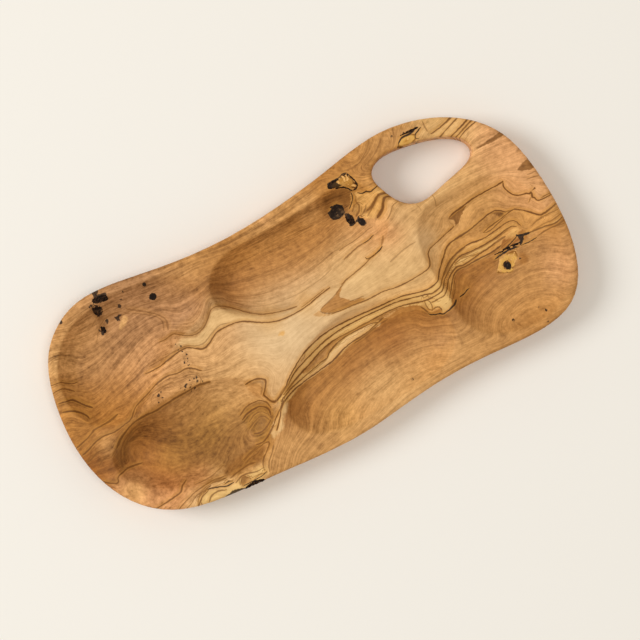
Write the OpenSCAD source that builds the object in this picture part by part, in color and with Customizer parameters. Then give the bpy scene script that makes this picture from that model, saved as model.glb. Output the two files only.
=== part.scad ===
// Olive wood serving dish with five carved wells and a hand hole
// X runs along the grain towards the hand hole, Y across the board, Z up from the table

/* [Board] */
// Overall length of the plank
board_length = 400; // [340:1:460]
// Overall width at the broadest places
board_width = 196; // [170:1:220]
// Thickness of the plank
board_height = 26; // [22:0.5:34]
// Radius of the rounded upper edge
top_round = 3; // [1.5:0.5:6]
// Radius of the eased lower edge
base_round = 5; // [2:0.5:7]
// How far the side leans in from the upper edge to the base
side_lean = 2; // [0:0.5:6]

/* [Left well] */
left_well_length = 126; // [110:1:140]
// Carved depth below the upper face
left_well_depth = 14; // [10:0.5:16]
// Rim between the well and the left end
left_well_end_gap = 10; // [8:1:20]
// Distance from the broadest line at the back
left_well_side_gap = 21; // [18:1:26]

/* [Front left well] */
front_left_well_length = 128; // [110:1:135]
front_left_well_width = 75; // [66:1:80]
front_left_well_depth = 15; // [10:0.5:16]
// Rim between the well and the left end
front_left_well_end_gap = 21; // [18:1:30]
// Distance from the broadest line at the front
front_left_well_side_gap = 14; // [11:1:20]
// How far the two left wells reach past each other along their slanted ridge
left_wells_nest = 3; // [0:0.5:5]

/* [Top well] */
top_well_width = 69; // [58:1:74]
top_well_depth = 15; // [10:0.5:16]
// Distance from the broadest line at the back
top_well_side_gap = 22; // [20:1:28]

/* [Front well] */
front_well_width = 77; // [66:1:82]
front_well_depth = 13; // [10:0.5:16]
// Distance from the broadest line at the front
front_well_side_gap = 11; // [9:1:18]

/* [Right well] */
right_well_length = 98; // [88:1:106]
right_well_depth = 14; // [10:0.5:16]
// Rim between the well and the right end
right_well_end_gap = 8; // [7:1:16]
// Distance from the broadest line at the front
right_well_side_gap = 19; // [17:1:26]

/* [Hand hole] */
hand_hole_length = 75; // [64:1:82]
hand_hole_width = 43; // [36:1:48]
// Radius of the rounded edges of the hole
hand_hole_round = 3; // [2:0.5:6]
// Wood between the hole and the right end
hand_hole_end_gap = 39.5; // [34:0.5:46]
// Distance from the broadest line at the back
hand_hole_side_gap = 16.5; // [14:0.5:20]

/* [Ridges] */
// Ridge left between two wells that lie end to end
well_ridge = 4; // [3:0.5:8]
// Ridge left between the top well and the right well
cross_ridge = 8; // [6:0.5:14]
// Wood left between the right well and the hand hole where they come closest
hole_ridge = 1; // [0.5:0.5:6]

/* [Encased knots] */
// Wood that a knot reaches down below the deepest carved floor
knot_depth = 5; // [3:0.5:6]
// Diameter of the round knot of the left well
left_well_knot_diameter = 5.6; // [3:0.2:8]
// Place from the left well's left end and back edge
left_well_knot_place = [91, -14.5]; // [-60:0.5:120]
left_well_pin_knot_diameter = 3.2; // [2:0.2:5]
left_well_pin_knot_place = [89.5, -4]; // [-60:0.5:120]
top_rim_knot_size = [21, 14]; // [8:0.5:26]
// Place from the top well's right end and back edge
top_rim_knot_place = [-23, -1.5]; // [-60:0.5:60]
top_well_knot_size = [12.5, 11]; // [6:0.5:16]
top_well_knot_place = [-35.5, -16.5]; // [-60:0.5:60]
top_well_small_knot_size = [5.5, 6]; // [3:0.5:8]
top_well_small_knot_place = [-21.5, -31.5]; // [-60:0.5:60]
right_well_knot_size = [19.5, 14]; // [10:0.5:24]
// Place from the middle of the right well
right_well_knot_place = [5.5, -10]; // [-40:0.5:40]
// Dark heart in the middle of the right well's knot
right_well_heart_size = [5.5, 6.5]; // [3:0.5:8]
right_well_heart_place = [4.5, -11]; // [-40:0.5:40]
handle_knot_size = [15, 5.5]; // [6:0.5:18]
// Place from the middle of the hand hole
handle_knot_place = [-3, 23.5]; // [-30:0.5:30]

/* [Bark pockets] */
// Depth of the bark pockets in the rim, below the upper face
rim_bark_depth = 8; // [5:0.5:10]
left_rim_bark_size = [12, 5.5]; // [4:0.5:16]
left_rim_bark_place = [55.5, 0.5]; // [-60:0.5:120]
left_well_bark_size = [7, 8.5]; // [3:0.5:10]
left_well_bark_place = [50, -6]; // [-60:0.5:120]
left_well_low_bark_size = [4, 6]; // [2:0.5:8]
left_well_low_bark_place = [47, -20.5]; // [-60:0.5:120]
// Thickness of the bark skin round the top rim knot
top_rim_bark_thickness = 1.2; // [0.8:0.1:2]
top_well_bark_size = [6, 8.5]; // [3:0.5:10]
top_well_bark_place = [-28.5, -26.5]; // [-60:0.5:60]
right_well_bark_size = [25, 2]; // [8:0.5:30]
right_well_bark_place = [11, 0]; // [-40:0.5:40]
// The pocket that breaks out through the front edge
front_rim_bark_size = [17, 6]; // [6:0.5:20]
handle_bark_size = [16, 1.8]; // [6:0.5:18]
handle_bark_place = [2, 28.8]; // [-30:0.5:30]

/* [Hidden] */

half_length = board_length / 2;
half_width = board_width / 2;
// Cutters stand this far above and below the plank
overcut = 2;
// Curve samples between two control points
outline_steps = 5;
well_steps = 4;

// Control points of the free-form curves, in per cent of half the length and half the width
outline_shape = [[-101, 0], [-98, -41], [-88.5, -75.5], [-70.5, -96.5], [-40, -96.5], [-5, -101.5],
    [20, -91], [45, -85], [76, -89.5], [93, -78.5], [100.5, -41], [100.5, 5], [96.5, 55], [85, 81.5],
    [69, 97], [49, 102.5], [25, 88.5], [-17.5, 75.5], [-50, 83], [-73, 89.5], [-88, 75], [-97.5, 50]];
left_well_shape = [[-100, 5], [-96, -70], [-60, -105], [-12, -95], [22, -48], [48, -15], [95, -5],
    [108, 45], [85, 85], [20, 99], [-40, 92], [-77, 60]];
front_left_well_shape = [[-104, 24], [-92, -32], [-45, -75], [10, -102], [60, -100], [98, -55],
    [104, 10], [80, 75], [20, 100], [-40, 88], [-86, 66]];
top_well_shape = [[-103, 5], [-85, -60], [-40, -98], [20, -100], [75, -75], [104, -5], [98, 65],
    [72, 112], [30, 88], [-30, 80], [-80, 80]];
front_well_shape = [[-104, -16], [-97, -82], [-48, -104], [20, -92], [75, -82], [104, -40], [98, 25],
    [68, 75], [10, 102], [-40, 82], [-82, 30]];
right_well_shape = [[-101, 22], [-92, -30], [-92, -60], [-60, -95], [0, -102], [60, -98], [96, -60],
    [102, 0], [96, 58], [62, 98], [5, 106], [-50, 106], [-88, 90], [-101, 58]];
hand_hole_shape = [[-102, 55], [-92, 5], [-70, -70], [-30, -105], [30, -67], [88, -47], [106, -10],
    [95, 35], [55, 75], [-20, 98], [-75, 100]];
pebble_shape = [[-100, 0], [-80, -90], [20, -110], [100, -50], [90, 60], [0, 110], [-80, 80]];
bark_shape = [[-120, 40], [-70, -70], [10, -60], [100, -110], [120, 10], [60, 90], [-10, 60], [-60, 110]];
lens_shape = [[-140, 0], [-40, -90], [40, -90], [140, 0], [40, 90], [-40, 90]];
boot_shape = [[-110, 40], [-40, 0], [10, -20], [40, -80], [85, -120], [120, -60], [95, 70], [60, 130],
    [-10, 80], [-70, 110]];
wedge_shape = [[-130, -70], [-60, 30], [0, 80], [110, 90], [90, 0], [30, -70], [0, -130], [-50, -90]];
splinter_shape = [[-140, -90], [-40, -95], [110, -95], [85, -10], [120, 90], [0, 95], [-70, 60]];

// Places of the wells, from the edges of the plank and from each other
left_well_right = left_well_end_gap + left_well_length - half_length;
front_left_well_right = front_left_well_end_gap + front_left_well_length - half_length;
right_well_left = half_length - right_well_end_gap - right_well_length;
top_well_left = left_well_right + well_ridge;
top_well_length = right_well_left - cross_ridge - top_well_left;
front_well_left = front_left_well_right + well_ridge;
front_well_length = right_well_left - well_ridge / 2 - front_well_left;
front_left_well_back = front_left_well_side_gap + front_left_well_width - half_width;
left_well_width = half_width - left_well_side_gap - front_left_well_back + left_wells_nest;
hand_hole_front = half_width - hand_hole_side_gap - hand_hole_width;
right_well_width = hand_hole_front - hole_ridge + half_width - right_well_side_gap;

left_well_middle = [left_well_right - left_well_length / 2,
    half_width - left_well_side_gap - left_well_width / 2];
front_left_well_middle = [front_left_well_right - front_left_well_length / 2,
    front_left_well_back - front_left_well_width / 2];
top_well_middle = [top_well_left + top_well_length / 2,
    half_width - top_well_side_gap - top_well_width / 2];
front_well_middle = [front_well_left + front_well_length / 2,
    front_well_side_gap + front_well_width / 2 - half_width];
right_well_middle = [right_well_left + right_well_length / 2,
    right_well_side_gap + right_well_width / 2 - half_width];
hand_hole_middle = [half_length - hand_hole_end_gap - hand_hole_length / 2,
    hand_hole_front + hand_hole_width / 2];

// Corners of the wells from which their knots and bark are placed
left_well_corner = [left_well_right - left_well_length, half_width - left_well_side_gap];
top_well_corner = [top_well_left + top_well_length, half_width - top_well_side_gap];

deepest_well = max(left_well_depth, front_left_well_depth, top_well_depth, front_well_depth,
    right_well_depth);
// Height of the undersides of the knots and of the rim's bark pockets
knot_floor = board_height - deepest_well - knot_depth;
rim_bark_floor = board_height - rim_bark_depth;

// One point of a uniform cubic B-spline
function curve_point(a, b, c, d, t) = (a * pow(1 - t, 3) + b * (3 * pow(t, 3) - 6 * pow(t, 2) + 4)
    + c * (3 * t + 3 * pow(t, 2) - 3 * pow(t, 3) + 1) + d * pow(t, 3)) / 6;

// Closed smooth curve round a list of control points
function closed_curve(points, steps) = let (count = len(points))
    [for (i = [0 : count - 1], s = [0 : steps - 1]) curve_point(points[i], points[(i + 1) % count],
        points[(i + 2) % count], points[(i + 3) % count], s / steps)];

// The curve stretched to an exact length and width about its own middle
function fitted(curve, size) = let (xs = [for (p = curve) p.x], ys = [for (p = curve) p.y],
        low = [min(xs), min(ys)], high = [max(xs), max(ys)])
    [for (p = curve) [((p.x - low.x) / (high.x - low.x) - 0.5) * size.x,
        ((p.y - low.y) / (high.y - low.y) - 0.5) * size.y]];

function loop(shape, size, steps) = fitted(closed_curve(shape, steps), size);

// Outward direction at one point of a loop
function outward(points, i) = let (count = len(points),
        along = points[(i + 1) % count] - points[(i + count - 1) % count])
    [along.y, -along.x] / norm(along);

function grown(points, distance) =
    [for (i = [0 : len(points) - 1]) points[i] + distance * outward(points, i)];

function raised(points, z) = [for (p = points) [p.x, p.y, z]];

function moved(points, place) = [for (p = points) p + place];

outline = loop(outline_shape, [board_length, board_width], outline_steps);
hand_hole_loop = moved(loop(hand_hole_shape, [hand_hole_length, hand_hole_width], well_steps),
    hand_hole_middle);
top_rim_knot_loop = moved(loop(boot_shape, top_rim_knot_size, well_steps),
    top_well_corner + top_rim_knot_place);
// The point of the front edge where the bark pocket breaks out
front_rim_bark_place = outline[3 * outline_steps - 1];

// Solid skinned over a stack of equal loops, closed by fans from two end points
module skinned(rings, low_point, high_point) {
    count = len(rings[0]);
    last = (len(rings) - 1) * count;
    low_index = len(rings) * count;
    high_index = low_index + 1;
    points = concat([for (ring = rings) each ring], [low_point, high_point]);
    walls = [for (k = [0 : len(rings) - 2], i = [0 : count - 1]) let (j = (i + 1) % count,
            a = k * count + i, b = a + count, c = k * count + j, d = c + count)
        each [[a, b, d], [a, d, c]]];
    low_fan = [for (i = [0 : count - 1]) [low_index, i, (i + 1) % count]];
    high_fan = [for (i = [0 : count - 1]) [high_index, last + (i + 1) % count, last + i]];
    polyhedron(points = points, faces = concat(walls, low_fan, high_fan), convexity = 10);
}

// The plank with its rounded edges, before carving
module blank() {
    low_arc = [for (turn = [0 : 30 : 90]) [side_lean + base_round * (1 - sin(turn)),
        base_round * (1 - cos(turn))]];
    high_arc = [for (turn = [0 : 18 : 90]) [top_round * (1 - cos(turn)),
        board_height - top_round * (1 - sin(turn))]];
    rings = [for (step = concat(low_arc, high_arc)) raised(grown(outline, -step[0]), step[1])];
    skinned(rings, [0, 0, 0], [0, 0, board_height]);
}

// Share of the full depth that is carved at a share of the way from the middle to the lip
function carved(share) = pow(1 - pow(share, 3.6), 1.1);

// Scale of one ring of a well, so that the wall is as broad at the ends as along the sides
function ring_scale(size, share) = let (reach = (1 - share) * min(size.x, size.y))
    [1 - reach / size.x, 1 - reach / size.y];

function scaled(points, factor) = [for (p = points) [p.x * factor.x, p.y * factor.y]];

// What the gouge takes out of one well: a bowl with a round floor and a crisp, slightly eased lip
module well_cut(shape, middle, size, depth, deep_shift) {
    lip = 0.012;
    shares = [0.3, 0.5, 0.65, 0.76, 0.85, 0.92, 0.96, 1 - lip];
    points = loop(shape, size, well_steps);
    rings = [for (share = shares) raised(moved(scaled(points, ring_scale(size, share)),
        middle + deep_shift * (1 - share)), board_height - depth * carved(share))];
    rim_loop = moved(scaled(points, ring_scale(size, 1 + lip)), middle);
    flare = raised(rim_loop, board_height + depth * carved(1 - lip));
    top = raised(rim_loop, board_height + overcut);
    deepest = middle + deep_shift;
    skinned(concat(rings, [flare, top]), [deepest.x, deepest.y, board_height - depth],
        [middle.x, middle.y, board_height + overcut]);
}

module left_well_cut() {
    well_cut(left_well_shape, left_well_middle, [left_well_length, left_well_width],
        left_well_depth, [-18, 5]);
}

module front_left_well_cut() {
    well_cut(front_left_well_shape, front_left_well_middle,
        [front_left_well_length, front_left_well_width], front_left_well_depth, [6, -2]);
}

module top_well_cut() {
    well_cut(top_well_shape, top_well_middle, [top_well_length, top_well_width], top_well_depth,
        [-4, 2]);
}

module front_well_cut() {
    well_cut(front_well_shape, front_well_middle, [front_well_length, front_well_width],
        front_well_depth, [-4, 0]);
}

module right_well_cut() {
    well_cut(right_well_shape, right_well_middle, [right_well_length, right_well_width],
        right_well_depth, [-7, -3]);
}

// The hand hole, flared at both faces by the rounded edges
module hand_hole_cut() {
    arc = [for (turn = [0 : 25 : 75]) hand_hole_round * [1 - cos(turn), sin(turn)]];
    reach = arc[len(arc) - 1];
    flare = [reach[0] + 2 * (hand_hole_round - reach[1]) / tan(15), 2 * hand_hole_round - reach[1]];
    edge = concat(arc, [flare, [flare[0], hand_hole_round + overcut]]);
    last = len(edge) - 1;
    low = [for (i = [0 : last]) [edge[last - i][0], hand_hole_round - edge[last - i][1]]];
    high = [for (step = edge) [step[0], board_height - hand_hole_round + step[1]]];
    rings = [for (step = concat(low, high)) raised(grown(hand_hole_loop, step[0]), step[1])];
    skinned(rings, [hand_hole_middle.x, hand_hole_middle.y, -overcut],
        [hand_hole_middle.x, hand_hole_middle.y, board_height + overcut]);
}

// An upright core of one knot or bark pocket, from its floor to a given height
module core(points, low, high) {
    translate([0, 0, low]) linear_extrude(high - low) polygon(points);
}

module round_core(place, diameter, low, high) {
    translate([place.x, place.y, low]) cylinder(d = diameter, h = high - low, $fn = 48);
}

// Each core has its own module, so that a pocket and what fills it share one outline
module left_rim_bark_core(top) {
    core(moved(loop(bark_shape, left_rim_bark_size, well_steps),
        left_well_corner + left_rim_bark_place), rim_bark_floor, top);
}

module left_well_bark_core(top) {
    core(moved(loop(pebble_shape, left_well_bark_size, well_steps),
        left_well_corner + left_well_bark_place), rim_bark_floor - knot_depth, top);
}

module left_well_low_bark_core(top) {
    core(moved(loop(pebble_shape, left_well_low_bark_size, well_steps),
        left_well_corner + left_well_low_bark_place), knot_floor, top);
}

module left_well_knot_core(top) {
    round_core(left_well_corner + left_well_knot_place, left_well_knot_diameter, knot_floor, top);
}

module left_well_pin_knot_core(top) {
    round_core(left_well_corner + left_well_pin_knot_place, left_well_pin_knot_diameter,
        rim_bark_floor - knot_depth, top);
}

module top_rim_bark_core(top) {
    core(top_rim_knot_loop, rim_bark_floor, top);
}

module top_rim_knot_core(top) {
    core(grown(top_rim_knot_loop, -top_rim_bark_thickness), rim_bark_floor, top);
}

module top_well_knot_core(top) {
    core(moved(loop(pebble_shape, top_well_knot_size, well_steps),
        top_well_corner + top_well_knot_place), knot_floor, top);
}

module top_well_bark_core(top) {
    core(moved(loop(bark_shape, top_well_bark_size, well_steps),
        top_well_corner + top_well_bark_place), knot_floor, top);
}

module top_well_small_knot_core(top) {
    core(moved(loop(pebble_shape, top_well_small_knot_size, well_steps),
        top_well_corner + top_well_small_knot_place), knot_floor, top);
}

module right_well_knot_core(top) {
    core(moved(loop(wedge_shape, right_well_knot_size, well_steps),
        right_well_middle + right_well_knot_place), knot_floor, top);
}

module right_well_knot_heart_core(top) {
    core(moved(loop(pebble_shape, right_well_heart_size, well_steps),
        right_well_middle + right_well_heart_place), knot_floor, top);
}

module right_well_bark_core(top) {
    core(moved(loop(lens_shape, right_well_bark_size, well_steps),
        right_well_middle + right_well_bark_place), knot_floor, top);
}

module front_rim_bark_core(top) {
    core(moved(loop(lens_shape, front_rim_bark_size, well_steps), front_rim_bark_place),
        rim_bark_floor, top);
}

module handle_knot_core(top) {
    core(moved(loop(splinter_shape, handle_knot_size, well_steps),
        hand_hole_middle + handle_knot_place), rim_bark_floor, top);
}

module handle_bark_core(top) {
    core(moved(loop(lens_shape, handle_bark_size, well_steps),
        hand_hole_middle + handle_bark_place), rim_bark_floor, top);
}

// The carved plank with a pocket for every knot and piece of bark
module board() {
    pocket_top = board_height + overcut;
    color([0.78, 0.60, 0.40]) difference() {
        blank();
        left_well_cut();
        front_left_well_cut();
        top_well_cut();
        front_well_cut();
        right_well_cut();
        hand_hole_cut();
        left_rim_bark_core(pocket_top);
        left_well_bark_core(pocket_top);
        left_well_low_bark_core(pocket_top);
        left_well_knot_core(pocket_top);
        left_well_pin_knot_core(pocket_top);
        top_rim_bark_core(pocket_top);
        top_well_knot_core(pocket_top);
        top_well_bark_core(pocket_top);
        top_well_small_knot_core(pocket_top);
        right_well_knot_core(pocket_top);
        right_well_bark_core(pocket_top);
        front_rim_bark_core(pocket_top);
        handle_knot_core(pocket_top);
        handle_bark_core(pocket_top);
    }
}

module left_rim_bark() {
    color([0.20, 0.13, 0.09]) difference() {
        left_rim_bark_core(board_height);
        left_well_cut();
    }
}

module left_well_bark() {
    color([0.20, 0.13, 0.09]) difference() {
        left_well_bark_core(board_height);
        left_well_cut();
    }
}

module left_well_low_bark() {
    color([0.20, 0.13, 0.09]) difference() {
        left_well_low_bark_core(board_height);
        left_well_cut();
    }
}

module left_well_knot() {
    color([0.33, 0.25, 0.19]) difference() {
        left_well_knot_core(board_height);
        left_well_cut();
    }
}

module left_well_pin_knot() {
    color([0.24, 0.18, 0.14]) difference() {
        left_well_pin_knot_core(board_height);
        left_well_cut();
    }
}

module top_rim_knot() {
    color([0.80, 0.58, 0.33]) difference() {
        top_rim_knot_core(board_height);
        top_well_cut();
    }
}

// The skin of bark that closes round the top rim knot
module top_rim_bark() {
    color([0.20, 0.13, 0.09]) difference() {
        top_rim_bark_core(board_height);
        top_rim_knot_core(board_height + overcut);
        top_well_cut();
    }
}

module top_well_knot() {
    color([0.33, 0.27, 0.20]) difference() {
        top_well_knot_core(board_height);
        top_well_cut();
    }
}

module top_well_bark() {
    color([0.16, 0.11, 0.09]) difference() {
        top_well_bark_core(board_height);
        top_well_cut();
    }
}

module top_well_small_knot() {
    color([0.38, 0.26, 0.17]) difference() {
        top_well_small_knot_core(board_height);
        top_well_cut();
    }
}

module right_well_knot() {
    color([0.83, 0.61, 0.35]) difference() {
        right_well_knot_core(board_height);
        right_well_knot_heart_core(board_height + overcut);
        right_well_cut();
    }
}

module right_well_knot_heart() {
    color([0.30, 0.22, 0.16]) difference() {
        right_well_knot_heart_core(board_height);
        right_well_cut();
    }
}

module right_well_bark() {
    color([0.18, 0.12, 0.09]) difference() {
        right_well_bark_core(board_height);
        right_well_cut();
    }
}

module front_rim_bark() {
    color([0.18, 0.12, 0.09]) intersection() {
        front_rim_bark_core(board_height + overcut);
        blank();
    }
}

module handle_knot() {
    color([0.80, 0.58, 0.33]) difference() {
        handle_knot_core(board_height);
        hand_hole_cut();
    }
}

module handle_bark() {
    color([0.20, 0.13, 0.09]) difference() {
        handle_bark_core(board_height);
        hand_hole_cut();
    }
}

board();
left_rim_bark();
left_well_bark();
left_well_low_bark();
left_well_knot();
left_well_pin_knot();
top_rim_knot();
top_rim_bark();
top_well_knot();
top_well_bark();
top_well_small_knot();
right_well_knot();
right_well_knot_heart();
right_well_bark();
front_rim_bark();
handle_knot();
handle_bark();
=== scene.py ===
"""A carved olive wood serving board with five wells and a hand hole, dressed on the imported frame."""

import math

import bpy
import numpy as np
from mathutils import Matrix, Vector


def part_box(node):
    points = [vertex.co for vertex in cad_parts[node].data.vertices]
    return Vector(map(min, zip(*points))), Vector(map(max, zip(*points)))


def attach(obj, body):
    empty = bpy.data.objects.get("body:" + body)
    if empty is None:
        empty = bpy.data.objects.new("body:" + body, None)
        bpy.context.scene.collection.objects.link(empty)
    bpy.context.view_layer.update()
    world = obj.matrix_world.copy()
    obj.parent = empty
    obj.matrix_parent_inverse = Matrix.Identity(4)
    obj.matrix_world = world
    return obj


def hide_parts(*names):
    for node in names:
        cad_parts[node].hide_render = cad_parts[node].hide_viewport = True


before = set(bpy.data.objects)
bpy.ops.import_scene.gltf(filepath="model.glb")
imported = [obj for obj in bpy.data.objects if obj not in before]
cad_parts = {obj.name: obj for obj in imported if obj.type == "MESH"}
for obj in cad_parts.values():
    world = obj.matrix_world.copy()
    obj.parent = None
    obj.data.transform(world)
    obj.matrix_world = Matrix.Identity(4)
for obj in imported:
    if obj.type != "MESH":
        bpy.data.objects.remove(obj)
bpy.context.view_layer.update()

MM = 0.001
BOARD_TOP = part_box("board")[1][2]

# How the carved board is skinned, in millimetres
BOARD_VOXEL = 1.2
BOARD_SMOOTHING_TURNS = 3
SMOOTHING = 0.5
HAND_TOOL_WAVE = 0.35
HAND_TOOL_WAVE_LENGTH = 34
SAME_POINT = 0.001
BASE_SKIN = 0.15
STRAIGHT_DOWN = -0.999

# How the knots and the bark are skinned, in millimetres
KNOT_VOXEL = 0.32
KNOT_SMOOTHING_TURNS = 3
KNOT_STANDS_PROUD = 0.10
KNOT_FACE_TILT = 0.35
BARK_EDGE_WANDER = 0.75
BARK_EDGE_WAVE_LENGTH = 2.2

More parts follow.
